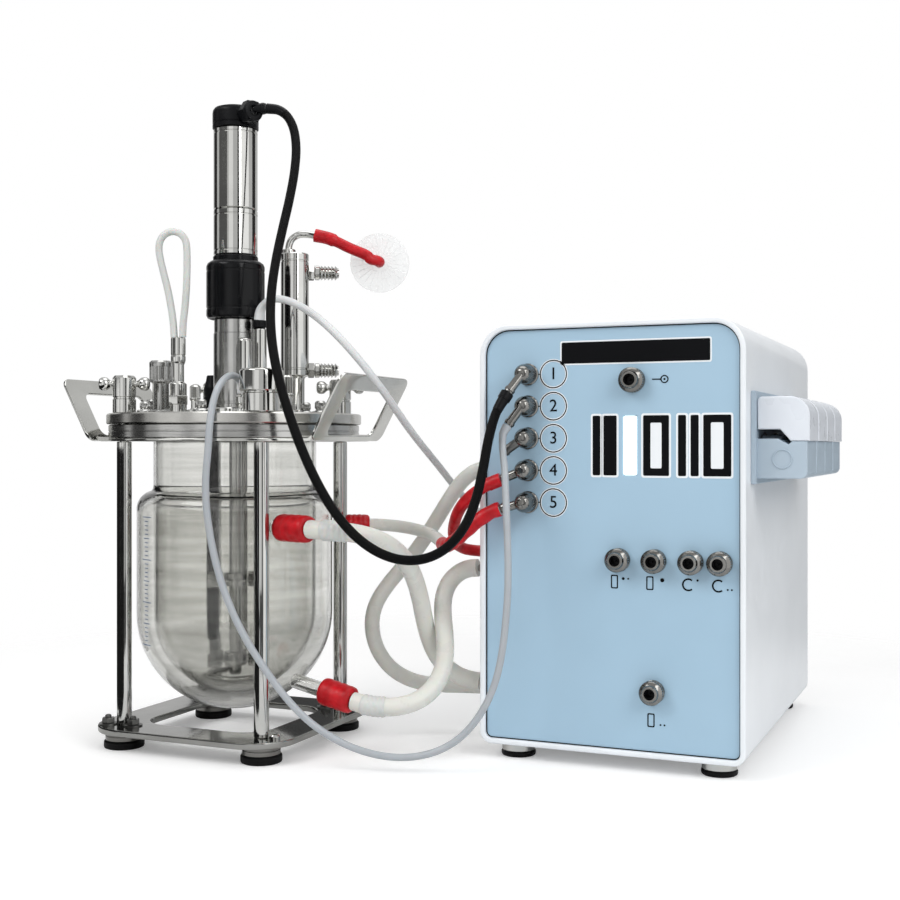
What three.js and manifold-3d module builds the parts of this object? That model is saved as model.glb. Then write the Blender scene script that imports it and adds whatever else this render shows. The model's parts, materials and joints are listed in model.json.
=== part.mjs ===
// Bench bioreactor: a jacketed glass vessel in a four-rod stand, its stirrer drive and ports,
// and the control unit that it is cabled and piped to.
// Millimetres, +Z up. The origin is the bottom centre of the box round everything but the cords.
import * as THREE from 'three';
import { mergeVertices } from 'three/addons/utils/BufferGeometryUtils.js';
import Module from 'manifold-3d';

const wasm = await Module();
wasm.setup();

// ---------------------------------------------------------------- driving dimensions
const FIT = 0.3; // gap between pieces that touch
const RUN = 0.5; // running gap round a turning piece

// stand
const ROD_OFFSET = 76; // rods stand at (+-76, +-76) about the vessel axis
const ROD_RADIUS = 7;
const STUD_RADIUS = 4;
const STAND_FOOT_RADIUS = 17.5;
const STAND_FOOT_PAD_RADIUS = 19;
const STAND_FOOT_PAD_HEIGHT = 8.5;
const STAND_FOOT_HEIGHT = 16;
const BASE_THICKNESS = 6;
const BASE_REACH = 105; // half width of the square base plate
const BASE_CORNER_RADIUS = 40;
const BASE_OPENING_REACH = 66;
const BASE_OPENING_RADIUS = 28;

// lifting ring, flange and head plate
const LIFT_RING_Z = 291.5;
const LIFT_THICKNESS = 2.7;
const FLANGE_RADIUS = 121.5;
const FLANGE_THICKNESS = 12.7;
const FLANGE_LEDGE = 4.2; // height of the ledge that carries the glass lip
const HEAD_GAP = 0.8; // gap between flange ring and head plate, closed by the gasket
const HEAD_RADIUS = 123.5;
const HEAD_THICKNESS = 10;
const HANDLE_HALF_WIDTH = 70;
const HANDLE_BEND_X = 124;
const HANDLE_RISE = 60.5;
const HANDLE_REACH = 157;
const HANDLE_BAR = 16;
const HANDLE_STRUT = 23;
const HANDLE_THICKNESS = 3;
const HANDLE_CORNER = 9;

// glass
const GLASS_WALL = 3;
const NECK_RADIUS = 79;
const NECK_WALL = 3.5;
const LIP_RADIUS = 86.5;
const LIP_THICKNESS = 4.4;
const SHOULDER_Z = 244;
const SHOULDER_DROP = 18;
const JACKET_RADIUS = 95;
const BOWL_CENTRE_Z = 125;
const GASKET_WIDTH = 9;
const ARM_RADIUS = 7;
const ARM_WALL = 1.8;

// clamp nuts
const NUT_RADIUS = 11;
const NUT_HEIGHT = 36;
const TOMMY_REACH = 24;
const TOMMY_RADIUS = 3;
const TOMMY_KNOB_RADIUS = 6.5;
const TOMMY_BELOW_TOP = 8;
const CAP_NUT_RADIUS = 20;
const CAP_NUT_NECK_RADIUS = 17;
const CAP_NUT_NECK_HEIGHT = 18;
const CAP_NUT_HEIGHT = 39;

// drive
const HUB_RADIUS = 21.5;
const HUB_HEIGHT = 93;
const SLEEVE_RADIUS = 28.5;
const SLEEVE_HEIGHT = 62;
const SLEEVE_NECK_RADIUS = 22;
const SLEEVE_NECK_HEIGHT = 5;
const GEARBOX_RADIUS = 21.5;
const GEARBOX_HEIGHT = 45;
const MOTOR_RADIUS = 21.5;
const MOTOR_HEIGHT = 79;
const MOTOR_CAP_RADIUS = 22.5;
const MOTOR_CAP_HEIGHT = 21.5;
const PLUG_RADIUS = 11.5;
const PLUG_RISE = 11.7; // its axis above the cap's foot
const PLUG_OUTLET_RISE = 3;
const PLUG_OUTLET_LENGTH = 15;
const SHAFT_RADIUS = 6;
const SHAFT_BOTTOM_Z = 62;
const SHAFT_IN_SLEEVE = 30;
const IMPELLER_RADIUS = 30;
const IMPELLER_BLADE_HEIGHT = 13;
const IMPELLER_Z = [78, 156];

// ports on the head plate, places about the vessel axis
const SIDE_PORT = { x: -60, y: -40, radius: 11, height: 52 };
const SAMPLE_PORT = { x: -27, y: -58, radius: 7, height: 72 };
const LOW_CAP_A = { x: 3, y: -74, radius: 5, height: 26 };
const LOW_CAP_B = { x: 73, y: -26, radius: 6.5, height: 36 };
const LANCE_A = { x: 34, y: -38, radius: 6.5, height: 72 };
const LANCE_B = { x: 31, y: -6, radius: 7, height: 91 };
const CABLE_PORT = { x: 43, y: -56, radius: 6.5, height: 18 };
const CONDENSER = { x: 30, y: 64, radius: 14.3, neck: 10, neckHeight: 40, height: 165 };
const CONDENSER_BARB_Z = [46, 146];
const PROBE = { x: -40, y: 20, radius: 6, head: 9, headHeight: 40, bottomZ: 90 };
const SPARGER = { x: -20, y: 48, radius: 3, ringRadius: 26, ringZ: 62 };
const VENT_TUBE_RADIUS = 3.5;
const VENT_SLEEVE_RADIUS = 5.5;
const FILTER_RADIUS = 30.5;
const FILTER_THICKNESS = 9;

// control unit
const UNIT_GAP = 177; // from the right rods' axis plane to the unit's left wall
const UNIT_SETBACK = 16; // unit front in front of the vessel axis
const UNIT_WIDTH = 243;
const UNIT_DEPTH = 373;
const UNIT_HEIGHT = 384;
const UNIT_CORNER = 28;
const UNIT_LOW_CORNER = 11;
const UNIT_WALL = 5;
const UNIT_FOOT_HEIGHT = 14;
const UNIT_FOOT_RADIUS = 16;
const UNIT_FOOT_INSET = 28;
const PANEL_RECESS = 4;
const PANEL_THICKNESS = 4;
const SOCKET_COLUMN_X = 46;
const SOCKET_COLUMN_Z = [352, 323, 294, 265, 236];
const SOCKET_FLANGE = 9;
const SOCKET_NUT = 8.6;
const SOCKET_REACH = 21;
const SOCKET_ARM_RADIUS = 4.2;
const SOCKET_ARM_LENGTH = 22;
// elbows out of the column sockets: how far in front of the panel they leave, and which way
const SOCKET_ARMS = [
  { front: 16, way: [-0.45, -0.45, -0.77] }, { front: 16, way: [-0.5, -0.35, -0.79] },
  { front: 14, way: [-0.8, -0.15, -0.58] }, { front: 12, way: [-0.93, -0.1, -0.36] },
  { front: 12, way: [-0.96, -0.1, -0.26] },
];
const TOP_SOCKET = { x: 144, z: 345, radius: 11 };
const ROW_SOCKETS = { x: [131, 163.5, 196, 221], z: 186.5, radius: 10.5 };
const LOW_SOCKET = { x: 162, z: 72, radius: 10.5 };
const PORT_REACH = 15;
const PORT_DEPTH = 8;
const STATUS_BAR = { x: 141, z: 287.5, width: 12.5, height: 53 };
const INLET = { x: 60, z: 60, width: 30, height: 24, depth: 14, wall: 3 };
const WALL_BARB_RADIUS = 5;
const WALL_BARB_REACH = 20;
// barbs on the unit's left wall: distance behind the front and height
const WALL_BARBS = [
  { back: 54, z: 60 }, { back: 47, z: 170 }, { back: 72, z: 184 },
  { back: 100, z: 46 }, { back: 116, z: 266 }, { back: 156, z: 204 },
];

// pumps
const PUMP_COUNT = 4;
const PUMP_PITCH = 59;
const PUMP_FIRST_Y = 56; // middle of the first pump behind the unit's front
const PUMP_WIDTH = 56;
const PUMP_PLATE = 4;
const PUMP_PLATE_MARGIN = 5;
const PUMP_REACH = 49;
const PUMP_BOTTOM_Z = 259;
const PUMP_TOP_Z = 330;
const PUMP_LIP_Z = 291.5; // lower edge of the cover's outer lip
const PUMP_SLOT = 8; // height of the tube slot under the cover
const PUMP_LIP_START = 33;
const PUMP_SLANT_START = 24;
const PUMP_ROUND = 17;
const ROTOR_RADIUS = 15;
const ROTOR_Z = 287;
const ROTOR_LENGTH = 18;
const ROTOR_TRACK_GAP = 2.5;
const SPINDLE_RADIUS = 3;
const ROLLER_RADIUS = 5;
const HINGE_PIN_RADIUS = 2;
const HINGE_BELOW_TOP = 4.5;
const HINGE_OUT = 9;
const LUG_THICKNESS = 2;

// cord and hose radii
const MOTOR_CABLE_RADIUS = 4.3;
const SENSOR_CABLE_RADIUS = 3.2;
const PROBE_CABLE_RADIUS = 3.6;
const SAMPLE_LOOP_RADIUS = 3.4;
const JACKET_HOSE_RADIUS = 8.5;
const LOOP_HOSE_RADIUS = 7.5;
const REAR_HOSE_RADIUS = 6;
const RED_TUBE_RADIUS = 5.5;
const COLLAR_WALL = 4;

// ---------------------------------------------------------------- places worked out
const BASE_Z = STAND_FOOT_HEIGHT;
const BASE_TOP_Z = BASE_Z + BASE_THICKNESS;
const FLANGE_Z = LIFT_RING_Z + LIFT_THICKNESS + FIT;
const FLANGE_TOP_Z = FLANGE_Z + FLANGE_THICKNESS;
const HEAD_Z = FLANGE_TOP_Z + HEAD_GAP;
const HEAD_TOP_Z = HEAD_Z + HEAD_THICKNESS;
const LIP_Z = FLANGE_Z + FLANGE_LEDGE + FIT;
const LIP_TOP_Z = LIP_Z + LIP_THICKNESS;
const PLATE_STAND = HEAD_TOP_Z + FIT;
const HUB_TOP_Z = PLATE_STAND + HUB_HEIGHT;
const SLEEVE_Z = HUB_TOP_Z + FIT;
const SLEEVE_TOP_Z = SLEEVE_Z + SLEEVE_HEIGHT;
const GEARBOX_Z = SLEEVE_TOP_Z + FIT;
const MOTOR_Z = GEARBOX_Z + GEARBOX_HEIGHT + FIT;
const MOTOR_CAP_Z = MOTOR_Z + MOTOR_HEIGHT + FIT;

const UNIT_LEFT = ROD_OFFSET + UNIT_GAP; // from the vessel axis
const SPAN_X = HANDLE_REACH + UNIT_LEFT + UNIT_WIDTH + PUMP_REACH;
const VESSEL_X = -SPAN_X / 2 + HANDLE_REACH;
const SPAN_Y = HEAD_RADIUS + UNIT_SETBACK + UNIT_DEPTH;
const VESSEL_Y = -SPAN_Y / 2 + HEAD_RADIUS;
const UNIT_X = VESSEL_X + UNIT_LEFT;
const UNIT_Y = VESSEL_Y + UNIT_SETBACK;

const CORNERS = [
  ['front_left', -1, -1], ['front_right', 1, -1], ['rear_left', -1, 1], ['rear_right', 1, 1],
];

// ---------------------------------------------------------------- materials
function finish(color, roughness, metalness) {
  return new THREE.MeshStandardMaterial({ color, roughness, metalness });
}

const STEEL = () => finish(0xb9b8b2, 0.22, 1);
const BRIGHT_STEEL = () => finish(0xd4d3ce, 0.12, 1);
const GLASS = () => finish(0xdfe6e4, 0.05, 0);
const BLACK = () => finish(0x14161a, 0.5, 0);
const RUBBER = () => finish(0x1b1c1e, 0.8, 0);
const SHELL_WHITE = () => finish(0xebf0f4, 0.35, 0);
const PANEL_BLUE = () => finish(0xaccbe1, 0.4, 0);
const PUMP_GREY = () => finish(0x94a8b8, 0.4, 0);
const SILICONE_RED = () => finish(0xc8141e, 0.45, 0);
const HOSE = () => finish(0xcdcdc6, 0.35, 0);
const CABLE_GREY = () => finish(0xd9dde0, 0.4, 0);

// ---------------------------------------------------------------- solids
function signedVolume(position, index) {
  const corner = (k) => new THREE.Vector3().fromBufferAttribute(position, index[k]);
  let volume = 0;
  for (let k = 0; k < index.length; k += 3) {
    volume += corner(k).dot(corner(k + 1).cross(corner(k + 2)));
  }
  return volume;
}

// A closed three.js geometry as a manifold solid, its faces turned outwards.
function solid(geometry) {
  geometry.deleteAttribute('normal');
  geometry.deleteAttribute('uv');
  const merged = mergeVertices(geometry, 1e-4);
  const source = merged.index.array;
  const kept = [];
  for (let k = 0; k < source.length; k += 3) {
    const [a, b, c] = [source[k], source[k + 1], source[k + 2]];
    if (a !== b && b !== c && c !== a) kept.push(a, b, c);
  }
  const inverted = signedVolume(merged.attributes.position, kept) < 0;
  const triVerts = Uint32Array.from(kept);
  for (let k = 0; inverted && k < triVerts.length; k += 3) {
    [triVerts[k], triVerts[k + 1]] = [triVerts[k + 1], triVerts[k]];
  }
  const vertProperties = Float32Array.from(merged.attributes.position.array);
  return new wasm.Manifold(new wasm.Mesh({ numProp: 3, vertProperties, triVerts }));
}

function join(...solids) {
  return solids.reduce((a, b) => a.add(b));
}

function named(name, shape, material) {
  const { vertProperties, triVerts } = shape.getMesh();
  const geometry = new THREE.BufferGeometry();
  geometry.setAttribute('position', new THREE.BufferAttribute(Float32Array.from(vertProperties), 3));
  geometry.setIndex(new THREE.BufferAttribute(Uint32Array.from(triVerts), 1));
  geometry.computeVertexNormals();
  const mesh = new THREE.Mesh(geometry, material);
  mesh.name = name;
  return mesh;
}

// Revolves [radius, height] points about Z.
function turned(points, segments = 24) {
  const profile = points.map(([radius, height]) => new THREE.Vector2(radius, height));
  return solid(new THREE.LatheGeometry(profile, segments).rotateX(Math.PI / 2));
}

function cylinder(radius, low, high, segments = 24) {
  return turned([[0, low], [radius, low], [radius, high], [0, high]], segments);
}

// A closed ring profile, its last point joined to its first.
function ring(points, segments = 28) {
  return turned([...points, points[0]], segments);
}

function box(x0, x1, y0, y1, z0, z1) {
  const block = new THREE.BoxGeometry(x1 - x0, y1 - y0, z1 - z0);
  return solid(block.translate((x0 + x1) / 2, (y0 + y1) / 2, (z0 + z1) / 2));
}

function plate(shape, low, thickness, curveSegments = 8) {
  const options = { depth: thickness, bevelEnabled: false, curveSegments };
  return solid(new THREE.ExtrudeGeometry(shape, options).translate(0, 0, low));
}

// A rectangle with round corners; the two lower ones may have a radius of their own.
function roundedRectangle(x0, x1, y0, y1, radius, low = radius) {
  const shape = new THREE.Shape();
  shape.moveTo(x0 + low, y0);
  shape.lineTo(x1 - low, y0);
  shape.absarc(x1 - low, y0 + low, low, -Math.PI / 2, 0, false);
  shape.lineTo(x1, y1 - radius);
  shape.absarc(x1 - radius, y1 - radius, radius, 0, Math.PI / 2, false);
  shape.lineTo(x0 + radius, y1);
  shape.absarc(x0 + radius, y1 - radius, radius, Math.PI / 2, Math.PI, false);
  shape.lineTo(x0, y0 + low);
  shape.absarc(x0 + low, y0 + low, low, Math.PI, 1.5 * Math.PI, false);
  return shape;
}

// An XZ outline extruded along +Y.
function alongY(shape, front, depth, curveSegments = 8) {
  return plate(shape, 0, depth, curveSegments).rotate([90, 0, 0]).translate([0, front + depth, 0]);
}

// A turned piece laid with its axis along a direction, starting at a point.
function laid(shape, start, direction) {
  const axis = new THREE.Vector3(...direction).normalize();
  const turn = new THREE.Quaternion().setFromUnitVectors(new THREE.Vector3(0, 0, 1), axis);
  const m = new THREE.Matrix4().compose(new THREE.Vector3(...start), turn, new THREE.Vector3(1, 1, 1));
  return shape.transform(m.elements);
}

// A round tube that follows points.
function tube(points, radius, steps, sides = 8) {
  const places = points.map((place) => new THREE.Vector3(...place));
  const path = new THREE.CatmullRomCurve3(places, false, 'centripetal');
  const section = new THREE.Shape();
  for (let k = 0; k < sides; k += 1) {
    const angle = (2 * Math.PI * k) / sides;
    const corner = [radius * Math.cos(angle), radius * Math.sin(angle)];
    if (k === 0) section.moveTo(...corner);
    else section.lineTo(...corner);
  }
  section.closePath();
  return solid(new THREE.ExtrudeGeometry(section, { steps, bevelEnabled: false, extrudePath: path }));
}

function arc(centreX, centreZ, radius, from, to, count) {
  const points = [];
  for (let k = 0; k <= count; k += 1) {
    const angle = from + ((to - from) * k) / count;
    points.push([centreX + radius * Math.cos(angle), centreZ + radius * Math.sin(angle)]);
  }
  return points;
}

// ---------------------------------------------------------------- stand
function roundedSquare(reach, radius) {
  return roundedRectangle(-reach, reach, -reach, reach, radius);
}

function basePlate() {
  const shape = roundedSquare(BASE_REACH, BASE_CORNER_RADIUS);
  shape.holes.push(roundedSquare(BASE_OPENING_REACH, BASE_OPENING_RADIUS));
  return named('base_plate', plate(shape, BASE_Z, BASE_THICKNESS), STEEL());
}

function standFoot(side) {
  const waist = STAND_FOOT_PAD_RADIUS - 1;
  const profile = [
    [0, 0], [waist, 0], [STAND_FOOT_PAD_RADIUS, 1.5], [STAND_FOOT_PAD_RADIUS, STAND_FOOT_PAD_HEIGHT],
    [STAND_FOOT_RADIUS, STAND_FOOT_PAD_HEIGHT + 0.5], [STAND_FOOT_RADIUS, STAND_FOOT_HEIGHT - FIT],
    [0, STAND_FOOT_HEIGHT - FIT],
  ];
  return named(`stand_foot_${side}`, turned(profile, 16), RUBBER());
}

// The rod ends in a stud that passes through ring, flange and head plate into its nut.
function standRod(side) {
  const shoulder = LIFT_RING_Z - FIT;
  const studTop = PLATE_STAND + NUT_HEIGHT * 0.7;
  const profile = [
    [0, BASE_TOP_Z + FIT], [ROD_RADIUS, BASE_TOP_Z + FIT], [ROD_RADIUS, shoulder],
    [STUD_RADIUS, shoulder], [STUD_RADIUS, studTop], [0, studTop],
  ];
  return named(`stand_rod_${side}`, turned(profile, 16), BRIGHT_STEEL());
}

function studHoles(low, high) {
  const hole = cylinder(STUD_RADIUS + RUN, low - 1, high + 1, 10);
  return join(...CORNERS.map(([, sx, sy]) => hole.translate([sx * ROD_OFFSET, sy * ROD_OFFSET, 0])));
}

function clampNut(side) {
  const bore = cylinder(STUD_RADIUS + RUN, -1, NUT_HEIGHT * 0.7 + 1, 12);
  const body = turned([
    [0, 0], [NUT_RADIUS, 0], [NUT_RADIUS, NUT_HEIGHT - 2], [NUT_RADIUS - 2, NUT_HEIGHT], [0, NUT_HEIGHT],
  ], 14);
  const knob = TOMMY_KNOB_RADIUS;
  const bar = turned([
    [0, -TOMMY_REACH], [knob - 1, -TOMMY_REACH], [knob, -TOMMY_REACH + 9],
    [TOMMY_RADIUS, -TOMMY_REACH + 11], [TOMMY_RADIUS, TOMMY_REACH - 11], [knob, TOMMY_REACH - 9],
    [knob - 1, TOMMY_REACH], [0, TOMMY_REACH],
  ], 8);
  const turnedBar = laid(bar, [0, 0, NUT_HEIGHT - TOMMY_BELOW_TOP], [0.92, 0.4, 0]);
  return named(`clamp_nut_${side}`, body.add(turnedBar).subtract(bore), BRIGHT_STEEL());
}

function capNut(side) {
  const bore = cylinder(STUD_RADIUS + RUN, -1, NUT_HEIGHT * 0.7 + 1, 12);
  const body = turned([
    [0, 0], [CAP_NUT_NECK_RADIUS, 0], [CAP_NUT_NECK_RADIUS, CAP_NUT_NECK_HEIGHT],
    [CAP_NUT_RADIUS, CAP_NUT_NECK_HEIGHT + 0.5], [CAP_NUT_RADIUS, CAP_NUT_HEIGHT - 2],
    [CAP_NUT_RADIUS - 2, CAP_NUT_HEIGHT], [0, CAP_NUT_HEIGHT],
  ], 24);
  return named(`clamp_nut_${side}`, body.subtract(bore), BRIGHT_STEEL());
}

// ---------------------------------------------------------------- ring, flange, head plate
// A leaning sheet with a window: its own plane first, then tipped outwards at its foot.
function handle() {
  const lean = Math.atan2(HANDLE_REACH - HANDLE_BEND_X, HANDLE_RISE);
  const length = Math.hypot(HANDLE_REACH - HANDLE_BEND_X, HANDLE_RISE);
  const shape = roundedRectangle(-HANDLE_HALF_WIDTH, HANDLE_HALF_WIDTH, 0, length, HANDLE_CORNER);
  const inner = HANDLE_HALF_WIDTH - HANDLE_STRUT;
  shape.holes.push(roundedRectangle(-inner, inner, 6, length - HANDLE_BAR, HANDLE_CORNER));
  const sheet = plate(shape, 0, HANDLE_THICKNESS, 2);
  return sheet
    .rotate([90, 0, 90])
    .translate([-HANDLE_THICKNESS, 0, 0])
    .rotate([0, (lean * 180) / Math.PI, 0])
    .translate([HANDLE_REACH - length * Math.sin(lean), 0, LIFT_RING_Z]);
}

function liftRing() {
  const high = LIFT_RING_Z + LIFT_THICKNESS;
  const edge = HANDLE_BEND_X - 1;
  const half = HANDLE_HALF_WIDTH - HANDLE_CORNER;
  const disc = cylinder(FLANGE_RADIUS, LIFT_RING_Z, high, 36);
  const tabs = box(-edge, edge, -half, half, LIFT_RING_Z, high);
  const right = handle();
  const sheet = join(disc, tabs, right, right.rotate([0, 0, 180]));
  const below = box(-HANDLE_REACH, HANDLE_REACH, -HEAD_RADIUS, HEAD_RADIUS, 0, LIFT_RING_Z);
  const bore = cylinder(NECK_RADIUS + 10, LIFT_RING_Z - 1, high + 1, 24);
  const body = sheet.subtract(join(below, bore, studHoles(LIFT_RING_Z, high)));
  return named('lift_ring', body, STEEL());
}

function flangeRing() {
  const neckBore = NECK_RADIUS + 1.5;
  const lipBore = LIP_RADIUS + 1;
  const ledge = FLANGE_Z + FLANGE_LEDGE;
  const body = ring([
    [neckBore, FLANGE_Z], [FLANGE_RADIUS, FLANGE_Z], [FLANGE_RADIUS, FLANGE_TOP_Z],
    [lipBore, FLANGE_TOP_Z], [lipBore, ledge], [neckBore, ledge],
  ], 30);
  return named('flange_ring', body.subtract(studHoles(FLANGE_Z, FLANGE_TOP_Z)), STEEL());
}

function gasket() {
  const outer = LIP_RADIUS - 0.5;
  const [low, high] = [LIP_TOP_Z + FIT, HEAD_Z - FIT];
  const body = ring([
    [outer - GASKET_WIDTH, low], [outer, low], [outer, high], [outer - GASKET_WIDTH, high],
  ]);
  return named('lid_gasket', body, RUBBER());
}

// Ports that are welded to the head plate, closed at the top by their caps.
function portStub({ x, y, radius, height }) {
  const cap = radius - 1;
  return turned([
    [0, HEAD_TOP_Z - 1], [radius, HEAD_TOP_Z - 1], [radius, HEAD_TOP_Z + height - 1],
    [cap, HEAD_TOP_Z + height], [0, HEAD_TOP_Z + height],
  ], 9).translate([x, y, 0]);
}

function throughHole({ x, y }, radius) {
  return cylinder(radius, HEAD_Z - 1, HEAD_TOP_Z + 1, 12).translate([x, y, 0]);
}

function headPlate() {
  const disc = turned([
    [0, HEAD_Z], [HEAD_RADIUS, HEAD_Z], [HEAD_RADIUS, HEAD_TOP_Z - 1.2],
    [HEAD_RADIUS - 1.2, HEAD_TOP_Z], [0, HEAD_TOP_Z],
  ], 36);
  const holes = join(
    studHoles(HEAD_Z, HEAD_TOP_Z),
    cylinder(SHAFT_RADIUS + RUN, HEAD_Z - 1, HEAD_TOP_Z + 1, 12),
    throughHole(PROBE, PROBE.radius + RUN),
    throughHole(SPARGER, SPARGER.radius + RUN),
  );
  const stubs = [LOW_CAP_A, LOW_CAP_B, LANCE_A, LANCE_B, CABLE_PORT].map(portStub);
  return named('head_plate', join(disc.subtract(holes), ...stubs), STEEL());
}

// ---------------------------------------------------------------- glass
// Side arms of the jacket: a foot inside the jacket wall, a direction, a length, and how far
// along it its silicone collar starts and how long that collar is.
const ARMS = {
  upper: { foot: [74, -54, 212], direction: [0.951, -0.309, 0], length: 34, collar: [12, 38] },
  lower: { foot: [56, -26, 72], direction: [0.975, -0.09, -0.2], length: 84, collar: [61, 33] },
  rear: { foot: [82, 43.6, 209], direction: [0.883, 0.469, 0], length: 32, collar: [15, 24] },
};

function armPoint({ foot, direction }, distance) {
  const unit = new THREE.Vector3(...direction).normalize();
  return new THREE.Vector3(...foot).addScaledVector(unit, distance).toArray();
}

function shellProfile(radius, bottomRadius, topZ) {
  const bowl = arc(0, BOWL_CENTRE_Z, bottomRadius, -Math.PI / 2, 0, 6);
  bowl[0][0] = 0;
  const shoulder = arc(radius - SHOULDER_DROP, topZ - SHOULDER_DROP, SHOULDER_DROP, 0, Math.PI / 2, 3);
  return { bowl, shoulder };
}

function glassVessel() {
  const segments = 24;
  const neckInner = NECK_RADIUS - NECK_WALL;
  const outer = shellProfile(JACKET_RADIUS, JACKET_RADIUS, SHOULDER_Z);
  const body = turned([
    ...outer.bowl, ...outer.shoulder.slice(0, 3), [NECK_RADIUS, SHOULDER_Z + 2],
    [NECK_RADIUS, LIP_Z], [LIP_RADIUS, LIP_Z], [LIP_RADIUS, LIP_TOP_Z], [0, LIP_TOP_Z],
  ], segments);
  const hollow = turned([
    ...shellProfile(neckInner, neckInner, SHOULDER_Z).bowl, [neckInner, LIP_TOP_Z + 1], [0, LIP_TOP_Z + 1],
  ], segments);
  const jacketInner = JACKET_RADIUS - GLASS_WALL;
  const jacket = shellProfile(jacketInner, jacketInner, SHOULDER_Z - GLASS_WALL);
  const wall = shellProfile(NECK_RADIUS, NECK_RADIUS, SHOULDER_Z);
  const space = turned([
    ...jacket.bowl, ...jacket.shoulder.slice(0, 2), [NECK_RADIUS, SHOULDER_Z - GLASS_WALL - 2],
    ...wall.bowl.reverse(),
  ], segments);
  const arms = Object.values(ARMS).map(({ foot, direction, length }) => (
    laid(cylinder(ARM_RADIUS, 0, length, 10), foot, direction)));
  const bores = Object.values(ARMS).map(({ foot, direction, length }) => (
    laid(cylinder(ARM_RADIUS - ARM_WALL, -1, length + 1, 8), foot, direction)));
  const shell = join(body, ...arms).subtract(join(hollow, space, ...bores));
  return named('glass_vessel', shell, GLASS());
}

function collar(name, arm, hoseRadius) {
  const inner = ARM_RADIUS + FIT;
  const outer = hoseRadius + COLLAR_WALL;
  const [start, length] = arm.collar;
  const body = ring([
    [inner, 0], [outer - 1, 0], [outer, 2], [outer, length - 4], [outer - 2, length], [inner, length],
  ], 16);
  return named(name, laid(body, armPoint(arm, start), arm.direction), SILICONE_RED());
}

// ---------------------------------------------------------------- drive
function bearingHub() {
  const bore = SHAFT_RADIUS + RUN;
  const body = ring([
    [bore, PLATE_STAND], [HUB_RADIUS, PLATE_STAND], [HUB_RADIUS, HUB_TOP_Z], [bore, HUB_TOP_Z],
  ], 24);
  return named('bearing_hub', body, STEEL());
}

function couplingSleeve() {
  const bore = SHAFT_RADIUS + RUN;
  const roof = SLEEVE_Z + SHAFT_IN_SLEEVE + 1;
  const body = turned([
    [0, roof], [bore, roof], [bore, SLEEVE_Z], [SLEEVE_RADIUS - 3, SLEEVE_Z], [SLEEVE_RADIUS, SLEEVE_Z + 3],
    [SLEEVE_RADIUS, SLEEVE_TOP_Z - SLEEVE_NECK_HEIGHT - 5],
    [SLEEVE_RADIUS - 4, SLEEVE_TOP_Z - SLEEVE_NECK_HEIGHT],
    [SLEEVE_NECK_RADIUS, SLEEVE_TOP_Z - SLEEVE_NECK_HEIGHT], [SLEEVE_NECK_RADIUS, SLEEVE_TOP_Z],
    [0, SLEEVE_TOP_Z],
  ], 20);
  return named('coupling_sleeve', body, BLACK());
}

function gearbox() {
  return named('gearbox', cylinder(GEARBOX_RADIUS, GEARBOX_Z, GEARBOX_Z + GEARBOX_HEIGHT), BRIGHT_STEEL());
}

function motor() {
  return named('motor', cylinder(MOTOR_RADIUS, MOTOR_Z, MOTOR_Z + MOTOR_HEIGHT), BRIGHT_STEEL());
}

const PLUG_Z = MOTOR_CAP_Z + PLUG_RISE;
const PLUG_DIRECTION = [0.872, -0.4895, 0];

function motorCap() {
  const top = MOTOR_CAP_Z + MOTOR_CAP_HEIGHT;
  const dome = turned([
    [0, MOTOR_CAP_Z], [MOTOR_CAP_RADIUS, MOTOR_CAP_Z], [MOTOR_CAP_RADIUS, top - 5],
    [MOTOR_CAP_RADIUS - 2, top - 1.5], [MOTOR_CAP_RADIUS - 6, top], [0, top],
  ]);
  const unit = new THREE.Vector3(...PLUG_DIRECTION);
  const boss = laid(cylinder(9, 0, MOTOR_CAP_RADIUS + 2, 12), [0, 0, PLUG_Z], PLUG_DIRECTION);
  const back = unit.clone().multiplyScalar(MOTOR_CAP_RADIUS + 2).toArray();
  return { mesh: named('motor_cap', dome.add(boss), BLACK()), bossEnd: [back[0], back[1], PLUG_Z] };
}

// Right-angle plug: a six-sided nut on the cap's boss and a side outlet for the cable.
function motorPlug(bossEnd) {
  const nut = turned([
    [0, FIT], [PLUG_RADIUS, FIT], [PLUG_RADIUS, 11], [PLUG_RADIUS - 2.5, 14], [5, 14], [5, 9], [0, 9],
  ], 6);
  const body = laid(nut, bossEnd, PLUG_DIRECTION);
  const [x, y, z] = bossEnd;
  const [ahead, aside] = PLUG_DIRECTION;
  const outletStart = [x + 6 * ahead, y + 6 * aside, z + PLUG_OUTLET_RISE];
  const outlet = laid(cylinder(5.2, 0, PLUG_OUTLET_LENGTH, 10), outletStart, [0.95, 0.3, 0]);
  return named('motor_plug', body.add(outlet), BLACK());
}

function stirrerShaft() {
  const top = SLEEVE_Z + SHAFT_IN_SLEEVE;
  return named('stirrer_shaft', cylinder(SHAFT_RADIUS, SHAFT_BOTTOM_Z, top, 12), STEEL());
}

// Six flat blades on a disc, clamped to the shaft by a hub.
function impeller(name, z) {
  const bore = SHAFT_RADIUS + FIT;
  const half = IMPELLER_BLADE_HEIGHT / 2;
  const hub = cylinder(SHAFT_RADIUS + 5, -half, half, 12);
  const disc = cylinder(IMPELLER_RADIUS * 0.75, -1, 1, 12);
  const blades = [0, 1, 2, 3, 4, 5].map((k) => (
    box(IMPELLER_RADIUS * 0.5, IMPELLER_RADIUS, -1, 1, -half, half).rotate([0, 0, 60 * k])));
  const body = join(hub, disc, ...blades).subtract(cylinder(bore, -half - 1, half + 1, 12));
  return named(name, body.translate([0, 0, z]), STEEL());
}

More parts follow.
